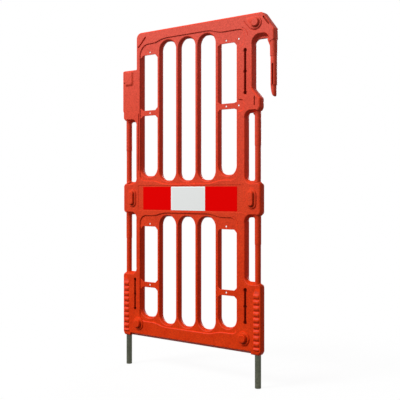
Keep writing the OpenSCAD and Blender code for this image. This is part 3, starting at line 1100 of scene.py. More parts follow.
@dataclass
class MouldedPanel:
    """The one-piece moulding: frame, fields, bars, mid band, leg blocks, hinge arm and socket.

    crisp_edge rounds the right leg block's outer edge in front and block_edge behind. crown and
    rail_drop are how far the rails run past their solids. arch_h and lip_h count up from the foot
    of the hinge arm. shoulder holds the x and the z at which the arm's outer corner slants.
    """

    wall_edge: float = 4.0
    block_edge: float = 12.0
    crisp_edge: float = 5.0
    top_edge: float = 8.0
    rail_edge: float = 3.0
    rail_lean: float = 17.0
    scoop: float = 17.0
    side_lean: float = 0.8
    window_r: float = 30.0
    knuckle_drop: float = 55.0
    crown: float = 4.0
    rail_drop: float = 8.0
    arm_w: float = 36.0
    arch_h: float = 57.0
    arch_lean: float = 18.0
    lip_h: tuple[float, float] = (48.5, 66.0)
    lip_y: tuple[float, float] = (-2.0, 20.0)
    grip_front_x: tuple[float, float] = (-486.0, 453.0)
    grip_back_x: tuple[float, float] = (-486.0, 443.5)
    grip_count: int = 10
    grip_pitch: float = 31.9
    grip_low: float = 188.3
    grip_start: float = 201.5
    grip_w: float = 40.0
    grip_h: float = 7.6
    grip_round: float = 12.0
    # Painted pink highlight on the ribs' tops
    grip_highlight: float = 1.8
    # Painted shade under the ribs
    grip_shade: float = 0.6
    shoulder: tuple[float, float] = (508.0, 1907.0)
    socket_step: tuple[float, float] = (1533.0, 1540.0)
    socket_in: float = 5.0
    collar_x: tuple[float, float] = (-478.0, -410.0)
    collar_z0: float = 1686.0
    collar_h: float = 8.0
    fields: list[SlotField] = field(default_factory=list)

    NODES = (
        "top_rail",
        "hinge_arm",
        "upper_left_stile",
        "upper_right_stile",
        "hinge_socket",
        "right_knuckle",
        "mid_band",
        "lower_left_stile",
        "lower_right_stile",
        "bottom_rail",
        "left_leg_block",
        "right_leg_block",
        *(f"{level}_bar_{i}" for level in ("upper", "lower") for i in (1, 2, 3, 4)),
    )

    def __post_init__(self) -> None:
        """Measures the frame's members."""
        self.front = cad("bottom_rail").y0
        self.back = cad("bottom_rail").y1
        self.field_y = cad("upper_bar_1").y0
        self.far_y = cad("upper_bar_1").y1
        self.left_stile = cad("upper_left_stile").x0
        self.right_stile = cad("lower_right_stile").x1
        self.fields = [
            SlotField(
                "upper",
                slot_z0=1116,
                slot_z1=1928,
                outer_lift=27,
                field_z0=1094,
                field_z1=1950,
                field_step=20,
                plate=cad("upper_right_tie_plate"),
                frame_eyelets=(1518, 1883),
                top_lean=10,
                top_edge=9,
                field_r=65,
                plate_h=44,
            ),
            SlotField(
                "lower",
                slot_z0=278,
                slot_z1=905,
                outer_lift=27,
                field_z0=258,
                field_z1=927,
                field_step=18,
                plate=cad("lower_right_tie_plate"),
            ),
        ]

    def outline(self, crisp: float) -> Loop:
        """Draws the panel's outline with its window notches, from the bottom left.

        Args:
            crisp: Rounding of the right leg block's outer edge.

        Returns:
            The outline.
        """
        band = cad("mid_band")
        left, right = band.x0, band.x1
        low_column = cad("lower_left_column")
        high_column = cad("upper_left_column")
        rail_z = cad("bottom_rail").z0 - self.rail_drop
        collar_z = cad("left_leg_block").z0
        leg = cad("right_leg").x
        knuckle = cad("right_knuckle")
        knuckle_z0 = cad("upper_right_column").z1
        gate = cad("upper_right_stile").x1
        arm = cad("hinge_arm")
        pin = cad("hinge_pin")
        socket = cad("hinge_socket")
        top = cad("top_rail").z1 + self.crown
        thin, thick, scoop, side = self.wall_edge, self.block_edge, self.scoop, self.side_lean
        notch = self.window_r
        block_r = scoop + 11
        # The moulding's rounded outline stands a few millimetres off the solids' plain one
        left_stile, right_stile = self.left_stile - 5, self.right_stile + 3
        left_block, right_block = left + 4, right - 4
        left, right = left + 7, right - 5
        pin_side = arm.x1 - self.arm_w
        arch_z = arm.z0 + self.arch_h
        block_z = low_column.z0 + 15
        band_z = (low_column.z1 - 9, high_column.z0 + 7)
        socket_z = high_column.z1 - 8

        def funnel(axis: float, outer: float) -> list[Corner]:
            """Returns the tapered collar below a leg block, from left to right."""
            half = abs(outer - axis)
            spots = [(-half, 20, thick), (-20, 0, thick), (20, 0, thick), (half, 20, crisp)]
            inner = -1 if outer > axis else 1
            corners = []
            leans = (side, self.rail_lean)[::inner]
            for dx, dz, edge in spots:
                if dx * inner > 20:
                    corners.append(Corner(axis + dx, rail_z, 8, self.rail_edge, None, *leans))
                else:
                    corners.append(Corner(axis + dx, collar_z + dz, thick + 1, edge))
            return corners

        def inward(x: float, z: float, r: float, edge: float, slope: float = scoop) -> Corner:
            """Returns a corner where a straight side turns into the leaning end of an opening."""
            return Corner(x, z, r, edge, thin, side, slope)

        def outward(x: float, z: float, r: float, edge: float, slope: float = scoop) -> Corner:
            """Returns a corner where the leaning end of an opening turns into a straight side."""
            return Corner(x, z, r, thin, edge, slope, side)

        corners = [
            *funnel(-leg, left_block),
            *funnel(leg, right_block),
            inward(right_block, block_z, block_r, crisp),
            outward(right_stile, block_z, notch, thin),
            inward(right_stile, band_z[0], notch, thin),
            outward(right, band_z[0], 30, thick),
            inward(right, band_z[1], block_r, thick),
            outward(right_stile, band_z[1], notch, thin),
            inward(right_stile, knuckle_z0, notch, thin),
            outward(right - 18, knuckle_z0, 22, thick),
            Corner(right - 2.5, knuckle_z0 + 25, 22, thick),
            Corner(right - 2.5, knuckle.z1 - self.knuckle_drop, 16, thick, 8),
            Corner(gate, knuckle.z1, 24, 8, thin),
            inward(gate, arch_z, 40, thin, self.arch_lean),
            outward(pin_side, arch_z, 30, thin, self.arch_lean),
            Corner(pin_side, pin.z1 - 14, 4.9, 4),
            Corner(arm.x1 - 3, pin.z1, 10, 3, 8),
            Corner(arm.x1 - 3, self.shoulder[1], 16, 12, 2),
            Corner(self.shoulder[0], top, 26, 2, self.top_edge),
            Corner(self.left_stile - 1.5, top, 35, self.top_edge, thin),
            Corner(self.left_stile - 1.5, socket.z1, 4, 4),
            Corner(self.left_stile - 34, socket.z1, 0, 4),
            Corner(socket.x0, socket.z1, 12, 4, 11),
            Corner(socket.x0, self.socket_step[1], 0, 11),
            Corner(socket.x0 + self.socket_in, self.socket_step[0], 0, 11),
            inward(socket.x0 + self.socket_in, socket_z, 30, 11),
            outward(left_stile, socket_z, notch, thin),
            inward(left_stile, band_z[1], notch, thin),
            outward(left, band_z[1], block_r, thick),
            inward(left, band_z[0], 30, thick),
            outward(left_stile, band_z[0], notch, thin),
            inward(left_stile, block_z, notch, thin),
            outward(left_block, block_z, block_r, thick),
        ]
        return Loop.through(corners)

    def tack_groove(self, x: float, z0: float, z1: float, half: float, dot: float) -> Loop:
        """Draws a groove of two half-widths with a round dot at each end and one between."""
        centres = np.array([z0, (z0 + z1) / 2, z1])
        turns = np.radians(np.arange(0, 181, 20))
        heights = np.unique((centres[:, None] - dot * np.cos(turns)).round(3))
        off = abs(heights[:, None] - centres).min(axis=1)
        bulge = np.sqrt(np.maximum(dot * dot - off * off, 0))
        within = (heights > z0) & (heights < z1)
        width = np.where(within, np.maximum(bulge, half), np.maximum(bulge, 0.4))
        right = [(x + w, z, 0) for w, z in zip(width, heights)]
        left = [(x - w, z, 0) for w, z in zip(width[::-1], heights[::-1])]
        return Loop.plain([*right, *left], 0.8)

    def groove(self, path: Sequence[tuple[float, float]], width: float) -> Loop:
        """Draws a groove of one width along a path of straight stretches."""
        spots = np.array(path, float)
        steps = np.diff(spots, axis=0)
        steps /= np.linalg.norm(steps, axis=1, keepdims=True)
        across = np.column_stack([-steps[:, 1], steps[:, 0]])
        first, last = np.vstack([across[:1], across]), np.vstack([across, across[-1:]])
        mitre = (first + last) / (1 + (first * last).sum(axis=1, keepdims=True)) * width / 2
        ring = [*(spots - mitre), *(spots + mitre)[::-1]]
        ends = {0, len(spots) - 1, len(spots), len(ring) - 1}
        return Loop.through(
            [
                Corner(x, z, width / 2 - 0.3 if i in ends else 0.0, 0.8, lean=0.0)
                for i, (x, z) in enumerate(ring)
            ],
            turn=30,
        )

    def front_recesses(self, shell: Shell) -> list[np.ndarray]:
        """Builds the grooves and the films' recess in the front.

        Args:
            shell: The moulding.

        Returns:
            Their rims.
        """
        # Each entry: outline, depth and strength of the painted shade inside
        loops = [
            (self.tack_groove(401, 1584, 1812, 6.5, 10.5), 14.0, 1.0),
            (self.tack_groove(-399, 347, 521, 5.5, 9.5), 14.0, 1.0),
            (self.tack_groove(401, 347, 521, 6.5, 10.5), 14.0, 1.0),
            (self.groove([(-377, 1917), (-366, 1920), (-313, 1973)], 9), 8.0, 0.4),
            (self.groove([(514.4, 1978.8), (551.4, 1932.8)], 9), 7.0, 0.8),
            (self.groove([(460, 1511), (460, 1560)], 6), 6.0, 0.7),
            (self.groove([(-371, 1176), (-371, 1520)], 5), 5.0, 0.5),
            (Loop.circle(-485.5, 1712, 3.6, 0.6, 16), 6.0, 1.0),
            (self.groove([(393, 1966), (435, 1920.5), (456, 1912), (476, 1911.5)], 4), 3.0, 0.4),
            *((self.groove(part.curl, 3.5), 2.2, 0.2) for part in self.fields),
        ]
        rims = [
            shell.pit(loop, self.front, FRONT, depth, grime=grime) for loop, depth, grime in loops
        ]
        film = cad("left_red_film")
        recess = Loop.box(-374, film.z0 - 5, self.right_stile - 4, film.z1 + 9, 5, 0.8)
        rims.append(shell.pit(recess, self.front, FRONT, film.y1 - self.front))
        return rims

    def arch_lip(self, shell: Shell) -> None:
        """Builds the back half's lip, which hangs lower under the arch than the front half."""
        left = cad("upper_right_stile").x1 - 0.4
        arm = cad("hinge_arm")
        right = arm.x1 - self.arm_w
        low, high = (arm.z0 + h for h in self.lip_h)
        foot = low - 50
        rows = [
            (left - 4, foot, 0),
            (left, foot, 0),
            (left, low, 29),
            (right, low, 40),
            (right, foot, 0),
            (right + 4, foot, 0),
            (right + 4, high, 0),
            (left - 4, high, 0),
        ]
        shell.slab(Loop.plain(rows, 1.0), *self.lip_y)

    def swell(
        self, shell: Shell, x: np.ndarray, z: np.ndarray, rise: np.ndarray, facing: int
    ) -> np.ndarray:
        """Builds a patch of a face that swells out of it.

        Args:
            shell: The moulding.
            x: Sideways places of the patch's columns.
            z: Heights of its rows.
            rise: How far it stands out, as rows.
            facing: FRONT or BACK, the way that the face looks.

        Returns:
            The ring round the patch.
        """
        face_y = self.front if facing == FRONT else self.back
        wide, high = np.meshgrid(x, z)
        hint = np.tile([0.0, facing, 0.0], (len(x), 1))
        numbers = shell.grid(np.stack([wide, face_y + facing * rise, high], axis=2), hint)
        return np.concatenate(
            [numbers[0], numbers[1:-1, -1], numbers[-1, ::-1], numbers[-2:0:-1, 0]]
        )

    def grip(self, shell: Shell, x0: float, facing: int) -> np.ndarray:
        """Builds the column of rounded ribs on one face of a leg block, from its left end x0."""
        x = np.linspace(x0, x0 + self.grip_w, 17)
        top = self.grip_low + self.grip_count * self.grip_pitch
        z = np.linspace(self.grip_start, top, self.grip_count * 20 + 1)
        share = (z - self.grip_low) / self.grip_pitch % 1
        dome = np.sin(share * math.pi) ** 0.8 * np.clip((z - self.grip_start) / 6, 0, 1)
        end = np.clip(np.minimum(x - x[0], x[-1] - x) / self.grip_round, 0, 1)
        ease = np.sqrt(1 - (1 - end[None]) ** 2)
        ring = self.swell(shell, x, z, self.grip_h * dome[:, None] * ease, facing)
        # Painted pink highlight on each rib's upper side
        pink_highlight = self.grip_highlight * np.clip(np.sin((share - 0.6) / 0.4 * math.pi), 0, 1)
        # Painted shade on each rib's underside, which looks down
        underside_shade = self.grip_shade * np.clip(np.sin(share / 0.35 * math.pi), 0, 1) * (share < 0.35)
        shell.painted_light_and_seal[-1] = ((pink_highlight - underside_shade)[:, None] * ease).ravel()
        return ring

    def collar(self, shell: Shell) -> np.ndarray:
        """Builds the raised collar at the mouth of the hinge socket, and returns its ring."""
        top = cad("hinge_socket").z1 - 6
        x = np.linspace(*self.collar_x, 35)
        z = np.linspace(self.collar_z0, top, 61)
        ease_x = np.clip(np.minimum((x - x[0]) / 8, (x[-1] - x) / 14), 0, 1)
        ease_z = np.clip(np.minimum((z - z[0]) / 17, (z[-1] - z) / 8), 0, 1)
        ease = ease_z[:, None] * ease_x[None]
        return self.swell(shell, x, z, self.collar_h * ease * ease * (3 - 2 * ease), FRONT)

    def back_recesses(self, shell: Shell) -> list[np.ndarray]:
        """Builds the stacking sockets in the back, and returns their rims."""
        depth = 16.0
        loops = []
        for name in ("bottom_left_lug", "bottom_right_lug"):
            lug = cad(name)
            loops.append(Loop.circle(lug.x, lug.z, 26, 2))
        top = cad("top_lug")
        loops.append(Loop.circle(top.x1 - 38, top.z, 26, 2))
        for name in ("mid_left_lug", "mid_right_lug"):
            lug = cad(name)
            loops.append(Loop.box(lug.x - 19, lug.z - 41, lug.x + 19, lug.z + 41, 18, 2))
        return [shell.pit(loop, self.back, BACK, depth) for loop in loops]

    def socket_mouth(self, shell: Shell, wall: dict[str, np.ndarray], at: int) -> None:
        """Builds the bore for the next panel's pin into the top of the socket block.

        Args:
            shell: The moulding.
            wall: The rings of the outer wall.
            at: The stretch of the wall that the mouth opens in.
        """
        x, bore = mount("hinge_socket")
        r, depth = bore["r_mm"], bore["length_mm"]
        top = cad("hinge_socket").z1
        lip = 1.5
        rows = [
            (r + lip, top, 0, 1),
            (r + lip * 0.3, top - lip * 0.3, -0.7, 0.7),
            (r, top - lip, -1, 0),
            (r, top - depth, -1, 0),
        ]
        rings = shell.lathe(x, 0, rows)
        floor = shell.lathe(x, 0, [(r, top - depth, 0, 1)])
        shell.fill(floor[0], axes=(0, 1))
        patch = [
            wall["front_wall"][at],
            wall["front_wall"][at + 1],
            wall["front_parting"][at + 1],
            wall["back_wall"][at + 1],
            wall["back_wall"][at],
            wall["front_parting"][at],
        ]
        shell.fill(np.array(patch), [rings[0]], axes=(0, 1))

    def build(self) -> None:
        """Builds the moulding and hands it over."""
        shell = Shell()
        outline = self.outline(self.crisp_edge)
        behind = self.outline(self.block_edge)
        top = cad("hinge_socket").z1
        ahead = np.roll(outline.xz, -1, axis=0)
        level = (abs(outline.xz[:, 1] - top) < 0.01) & (abs(ahead[:, 1] - top) < 0.01)
        mouth = int(np.argmax(np.where(level, abs(ahead[:, 0] - outline.xz[:, 0]), 0)))
        wall = shell.wall(
            outline, Side.OUTLINE, self.front, self.back, mouths=[mouth], behind=behind
        )
        self.socket_mouth(shell, wall, mouth)
        front_rims = self.front_recesses(shell)
        back_rims = self.back_recesses(shell)
        for front_x, back_x in zip(self.grip_front_x, self.grip_back_x):
            front_rims.append(self.grip(shell, front_x, FRONT))
            back_rims.append(self.grip(shell, back_x, BACK))
        for part in self.fields:
            slots = [
                shell.wall(part.slot(i), Side.OPENING, self.field_y, self.far_y)
                for i in range(-2, 3)
            ]
            for name, face_y, facing, depth, rims in (
                ("front", self.front, FRONT, self.field_y - self.front, front_rims),
                ("back", self.back, BACK, self.back - self.far_y, back_rims),
            ):
                rim, floor = shell.sink(
                    part.rim(), face_y, facing, depth, foot=0.4, lean=1.0, low_lean=35.0
                )
                shell.fill(floor, [rings[name] for rings in slots])
                rims.append(rim)
        front_rims.append(self.collar(shell))
        self.arch_lip(shell)
        shell.fill(wall["front"], front_rims)
        shell.fill(wall["back"], back_rims)
        shell.make("moulded_panel", PLASTIC, self.NODES)


@dataclass
class TiePlates:
    """The thin webs and plates across the outer slots, each with its eyelets."""

    panel: MouldedPanel
    flare: float = 16.0
    lap: float = 6.0
    proud: float = 0.03
    edge: float = 1.0
    half_h: float = 16.0
    spike: float = 20.0
    reach: float = 30.0
    eyelet_r: float = 4.5
    eyelet_shift: float = 6.0
    frame_eyelet_x: float = 355.0
    flared: float = 1.4

    def web(self, part: SlotField, i: int, name: str) -> None:
        """Builds the web across an outer slot.

        Args:
            part: The field that it belongs to.
            i: The slot's number.
            name: The CAD node that it stands for.
        """
        node = cad(name)
        x0, x1 = node.x0 - self.lap, node.x1 + self.lap
        z0, z1 = node.z - self.half_h, node.z + self.half_h
        left = [
            (node.x0 + self.flare, z1, 10),
            (x0, z1 + self.spike, 2),
            (x0, z0 - self.spike, 2),
            (node.x0 + self.flare, z0, 10),
        ]
        right = [
            (node.x1 - self.flare, z0, 10),
            (x1, z0 - self.spike, 2),
            (x1, z1 + self.spike, 2),
            (node.x1 - self.flare, z1, 10),
        ]
        eyelets = [(node.x - math.copysign(self.eyelet_shift, i), node.z)]
        if i > 0 and part.frame_eyelets:
            near, reach = node.x1 + self.lap, node.x1 + self.reach
            right[1:3] = [
                (near, z0 - 8, 12),
                (reach, z0 - 2, 10),
                (reach, z1 + 2, 10),
                (near, z1 + 8, 12),
            ]
            eyelets.append((self.frame_eyelet_x, node.z))
        self.plate([*left, *right], eyelets, node, name)

    def cover(self, part: SlotField, i: int, name: str) -> None:
        """Builds the plate that closes the top of an outer slot.

        Args:
            part: The field that it belongs to.
            i: The slot's number.
            name: The CAD node that it stands for.
        """
        node = cad(name)
        low = part.plate.z1 - part.plate_h
        x0 = part.x0 - 0.6 if i < 0 else node.x0 - self.lap
        x1 = node.x1 + self.lap
        top = node.z1 + self.lap
        eyelet_z = low + self.half_h
        eyelets = [(node.x - math.copysign(self.eyelet_shift, i), eyelet_z)]
        if i > 0 and part.frame_eyelets:
            x1 = node.x1 + self.reach
            eyelets.append((self.frame_eyelet_x, eyelet_z))
        rows = [
            (x0, low - self.spike, 2.2),
            (node.x0 + self.flare, low, 12),
            (node.x1 - self.flare, low, 12),
            (node.x1 + 2, low - self.spike, 2),
            (x1, low - 4, 2),
            (x1, top, 10),
            (x0, top, 10),
        ]
        self.plate(rows, eyelets, node, name)

    def plate(
        self,
        rows: Sequence[tuple[float, float, float]],
        eyelets: Sequence[tuple[float, float]],
        node: Box,
        name: str,
    ) -> None:
        """Builds a thin plate with eyelets, and hands it over.

        Args:
            rows: The plate's corners, each with its x, z and r.
            eyelets: Places of its eyelets.
            node: The box of the CAD node that it stands for.
            name: That node's name.
        """
        front, back = node.y0 - self.proud, node.y1
        holes = [Loop.circle(x, z, self.eyelet_r, 0.6, 24, self.flared) for x, z in eyelets]
        shell = Shell()
        shell.slab(Loop.plain(rows, self.edge), front, back, holes, front + self.flared)
        shell.make(f"{name}_moulded", PLASTIC, [name])

    def build(self) -> None:
        """Builds all webs and plates."""
        for part in self.panel.fields:
            for i, side in ((-2, "left"), (2, "right")):
                self.web(part, i, f"{part.name}_{side}_web")
                self.cover(part, i, f"{part.name}_{side}_tie_plate")


@dataclass
class Lugs:
    """The five lugs on the front that hold stacked panels apart."""

    panel: MouldedPanel
    pad_h: float = 6.0
    boss_h: float = 11.0
    tall_h: float = 14.0
    boss_r: float = 23.0
    pad_edge: float = 1.8
    round_edge: float = 3.2
    boss_edge: float = 3.2
    oblong_edge: float = 2.5
    oblong_in: float = 15.0
    top_in: float = 34.0
    top_z: float = 1951.0
    lean: float = 2.0

    def stack(
        self, pad: Loop, boss: Loop, foot_y: Any, pad_y: Any, high: float, name: str
    ) -> None:
        """Builds a pad with a boss on it, and hands it over.

        Args:
            pad: The pad's outline.
            boss: The boss's outline.
            foot_y: Depth of the pad's foot.
            pad_y: Depth of the pad's top, one number or one per point.
            high: Height of the boss above the pad.
            name: The CAD node that it stands for.
        """
        shell = Shell()
        boss_foot = self.panel.front - self.pad_h
        _, pad_top = shell.boss(pad, foot_y, pad_y, self.lean)
        foot, boss_top = shell.boss(boss, boss_foot, boss_foot - high, self.lean)
        shell.fill(pad_top, [foot])
        shell.fill(boss_top)
        shell.make(f"{name}_moulded", PLASTIC, [name])

    def build(self) -> None:
        """Builds the five lugs."""
        front = self.panel.front
        pad_y = front - self.pad_h
        for name in ("bottom_left_lug", "bottom_right_lug"):
            node = cad(name)
            pad = Loop.circle(node.x, node.z, (node.z1 - node.z0) / 2 - 1, self.round_edge, 56)
            boss = Loop.circle(node.x, node.z, self.boss_r, self.boss_edge, 48)
            self.stack(pad, boss, self.panel.field_y + 1, pad_y, self.tall_h, name)
        for name in ("mid_left_lug", "mid_right_lug"):
            node = cad(name)
            half_w = (node.x1 - node.x0) / 2
            x0, z0, x1, z1 = node.x0, node.z0, node.x1, node.z1
            pad = Loop.box(x0, z0, x1, z1, half_w - 1, self.pad_edge)
            step = self.oblong_in
            boss = Loop.box(x0 + step, z0 + step, x1 - step, z1 - step, step, self.oblong_edge)
            self.stack(pad, boss, front + 1, pad_y, self.boss_h, name)
        self.top_lug(cad("top_lug"))

    def top_lug(self, node: Box) -> None:
        """Builds the lug at the top right, whose pad runs out into a ramp along the rail."""
        x, z = node.x1 - self.top_in, self.top_z
        edge = self.pad_edge
        rows = [
            (x - 86, z + 33, 10),
            (x - 74, z + 17, 5),
            (x - 32, z - 27, 10),
            (x - 14, z - 35, 14),
            (x + 36, z - 35, 34.5),
            (x + 36, z + 35, 34.5),
        ]
        pad = Loop.plain(rows, edge)
        along, up = pad.xz[:, 0] - x, pad.xz[:, 1] - z
        disc = np.clip((along + 70) / 50, 0, 1)
        rise = np.clip((along + 92) / 40, 0.02, 1)
        rise *= disc + (1 - disc) * np.clip((38 - up) / 25, 0.02, 1)
        boss = Loop.circle(x, z, self.boss_r - 1, self.boss_edge, 48)
        front = self.panel.front
        self.stack(pad, boss, front + 2 * edge, front - self.pad_h * rise, self.boss_h, "top_lug")


@dataclass
class HingePin:
    """The pin that hangs from the hinge arm, with its neck, groove and drawn-in tip."""

    neck_r: float = 18.0
    neck_h: float = 85.0
    neck_left: float = 2.5
    neck_deep: float = 4.5
    gusset_h: float = 31.0
    gusset_y: float = 15.0
    tip_h: float = 60.0
    tip_step: float = 3.5
    groove_z: tuple[float, float] = (1611.0, 1725.0)
    groove_d: float = 12.0
    draw_in: float = 20.0
    groove_half: float = 3.8
    groove_turn: float = 0.12
    count: int = 72

    def build(self) -> None:
        """Builds the pin and hands it over."""
        node = cad("hinge_pin")
        axis, sizes = mount("hinge_pin")
        r = sizes["r_mm"]
        top, low = node.z1, node.z0
        tip_z = low + self.tip_h
        neck_z = top - self.neck_h
        low_cut, high_cut = self.groove_z
        # Each row has its height and radius, then the shares of the groove and of the neck's swell
        rows = [
            (top + 12, self.neck_r, 0, 1),
            (top - 1, self.neck_r, 0, 0.9),
            (neck_z, self.neck_r, 0, 0.05),
            (neck_z - 1.5, r - 0.8, 0, 0),
            (neck_z - 4, r, 0, 0),
            (high_cut + 0.5, r, 0, 0),
            (high_cut, r, 1, 0),
            (low_cut, r, 1, 0),
            (low_cut - 0.5, r, 0, 0),
            (tip_z + 1, r, 0, 0),
        ]
        turns = np.arange(self.count) / self.count * math.tau
        way = np.column_stack([np.cos(turns), np.sin(turns)])
        groove = abs(turns - 1.5 * math.pi - self.groove_turn) * r < self.groove_half
        shell = Shell()
        rings = []
        for z, radius, cut, neck in rows:
            reach = radius - self.groove_d * cut * groove
            x = axis + way[:, 0] * reach + self.neck_left * (neck > 0) * np.minimum(way[:, 0], 0)
            y = way[:, 1] * (reach + self.neck_deep * neck)
            spots = np.column_stack([x, y, np.full(self.count, z)])
            # Painted shade in the groove, and a painted highlight down the left side, which faces
            # the key light
            painted_light_and_seal = np.where(groove, -cut, np.clip(-2 * way[:, 0] - 1, 0, 1))
            rings.append(shell.add(spots, np.column_stack([way, np.zeros(self.count)]), painted_light_and_seal))
        for k in range(11):
            share = k / 10
            z = tip_z - (self.tip_h - 2) * math.sin(share * math.pi / 2)
            size = (r - 1.4) * math.sqrt(1 - (share * 0.9) ** 3)
            left = axis - r + 0.6 + self.draw_in * share**1.6
            right = axis + r - self.tip_step - 3 * share**4
            middle, half = (left + right) / 2, (right - left) / 2
            spots = np.column_stack(
                [middle + way[:, 0] * half, way[:, 1] * size, np.full(self.count, z)]
            )
            down = np.column_stack([way, np.full(self.count, -0.9 * share**2)])
            rings.append(shell.add(spots, down))
        shell.bridge(rings)
        foot = np.concatenate(shell.spots)[rings[-1]] - np.array([0, 0, 2.0])
        middle = foot.mean(axis=0)
        cap = shell.add(middle + (foot - middle) * 0.55, np.tile([0, 0, -1.0], (self.count, 1)))
        shell.join(rings[-1], cap)
        shell.fill(cap, axes=(0, 1))
        self.gusset(shell, axis, top, top - self.gusset_h)
        shell.make("hinge_pin_moulded", PLASTIC, ["hinge_pin"], crease=40)

    def gusset(self, shell: Shell, axis: float, top: float, low: float) -> None:
        """Builds the gusset between the pin and the underside of the arm."""
        side = axis - self.neck_r
        rows = [(side + 12, low - 22, 3), (side + 12, top + 6, 3), (side - 14, top + 6, 3)]
        shell.slab(Loop.plain(rows, 0.8, lean=0.0), -self.gusset_y, self.gusset_y)


@dataclass
class Legs:
    """The two galvanised steel tubes that the panel stands on."""

    wall: float = 3.2
    sunk: float = 60.0

    def build(self) -> None:
        """Builds both legs and hands them over."""
        for name, block in (("left_leg", "left_leg_block"), ("right_leg", "right_leg_block")):
            node = cad(name)
            r = (node.x1 - node.x0) / 2
            inner = r - self.wall
            top = cad(block).z0 + self.sunk
            chamfer = 0.8
            rows = [
                (inner, top, -1, 0),
                (inner, node.z0 + chamfer, -1, 0),
                (inner + chamfer, node.z0, -0.5, -0.9),
                (r - chamfer, node.z0, 0.5, -0.9),
                (r, node.z0 + chamfer, 1, 0),
                (r, top, 1, 0),
            ]
            shell = Shell()
            rings = shell.lathe(node.x, 0, rows)
            shell.join(rings[-1], rings[0])
            shell.make(f"{name}_tube", STEEL, [name])


@dataclass
class Films:
    """The three lengths of reflective film on the mid band."""

    edge: float = 0.25
    corner_r: float = 1.5
    seal: float = 6.0

    def build(self) -> None:
        """Builds the films and hands them over."""
        for name, finish in (
            ("left_red_film", RED_SHEET),
            ("white_film", WHITE_SHEET),
            ("right_red_film", RED_SHEET),
        ):
            node = cad(name)
            loop = Loop.box(node.x0, node.z0, node.x1, node.z1, self.corner_r, self.edge)
            shell = Shell()
            rings = shell.wall(loop, Side.OUTLINE, node.y0, node.y1)
            border = []
            for inset, painted_light_and_seal in ((self.seal, 1.0), (self.seal + 0.4, 0.0)):
                x0, z0, x1, z1 = node.x0 + inset, node.z0 + inset, node.x1 - inset, node.z1 - inset
                bare = Loop.box(x0, z0, x1, z1, self.corner_r, self.edge)
                border.append(shell.ring(bare, Side.OUTLINE, 0.0, node.y0, 0.0, FRONT, painted_light_and_seal))
            shell.painted_light_and_seal[0] = np.ones_like(shell.painted_light_and_seal[0])
            shell.join(rings["front"], border[0])
            shell.join(*border)
            shell.fill(border[1])
            shell.fill(rings["back"])
            shell.make(f"{name}_sheet", finish, [name])


class GrownPiece:
    """A piece that a Geometry Nodes tree makes and that is then turned into a plain mesh."""

    def __init__(self, name: str, sizes: dict[str, tuple[str, Any]]) -> None:
        """Starts a tree.

        Args:
            name: The tree's name.
            sizes: The tree's named inputs, each with its socket type and value.
        """
        self.tree = bpy.data.node_groups.new(name, "GeometryNodeTree")
        self.sizes = sizes
        face = self.tree.interface
        for label, (kind, _) in sizes.items():
            face.new_socket(label, in_out="INPUT", socket_type=kind)
        face.new_socket("Geometry", in_out="OUTPUT", socket_type="NodeSocketGeometry")
        self.inputs = wire(self.tree, "NodeGroupInput").outputs

    def close(self, geometry: Any) -> None:
        """Ends the tree: real geometry, smooth, in its material."""
        real = wire(self.tree, "GeometryNodeRealizeInstances", {0: geometry}).outputs[0]
        smooth = wire(self.tree, "GeometryNodeSetShadeSmooth", {0: real}).outputs[0]
        dressed = wire(
            self.tree, "GeometryNodeSetMaterial", {0: smooth, "Material": self.inputs["Material"]}
        ).outputs[0]
        wire(self.tree, "NodeGroupOutput", {0: dressed})

    def grow(self, name: str) -> bpy.types.Mesh:
        """Runs the tree and returns its result as a plain mesh."""
        carrier = bpy.data.objects.new(name + "_carrier", bpy.data.meshes.new(name + "_carrier"))
        bpy.context.scene.collection.objects.link(carrier)
        modifier = carrier.modifiers.new("grow", "NODES")
        modifier.node_group = self.tree
        for item in self.tree.interface.items_tree:
            if item.in_out == "INPUT":
                modifier[item.identifier] = self.sizes[item.name][1]
        graph = bpy.context.evaluated_depsgraph_get()
        mesh = bpy.data.meshes.new_from_object(carrier.evaluated_get(graph))
        mesh.name = name
        carrier.modifiers.remove(modifier)
        bpy.data.objects.remove(carrier)
        return mesh


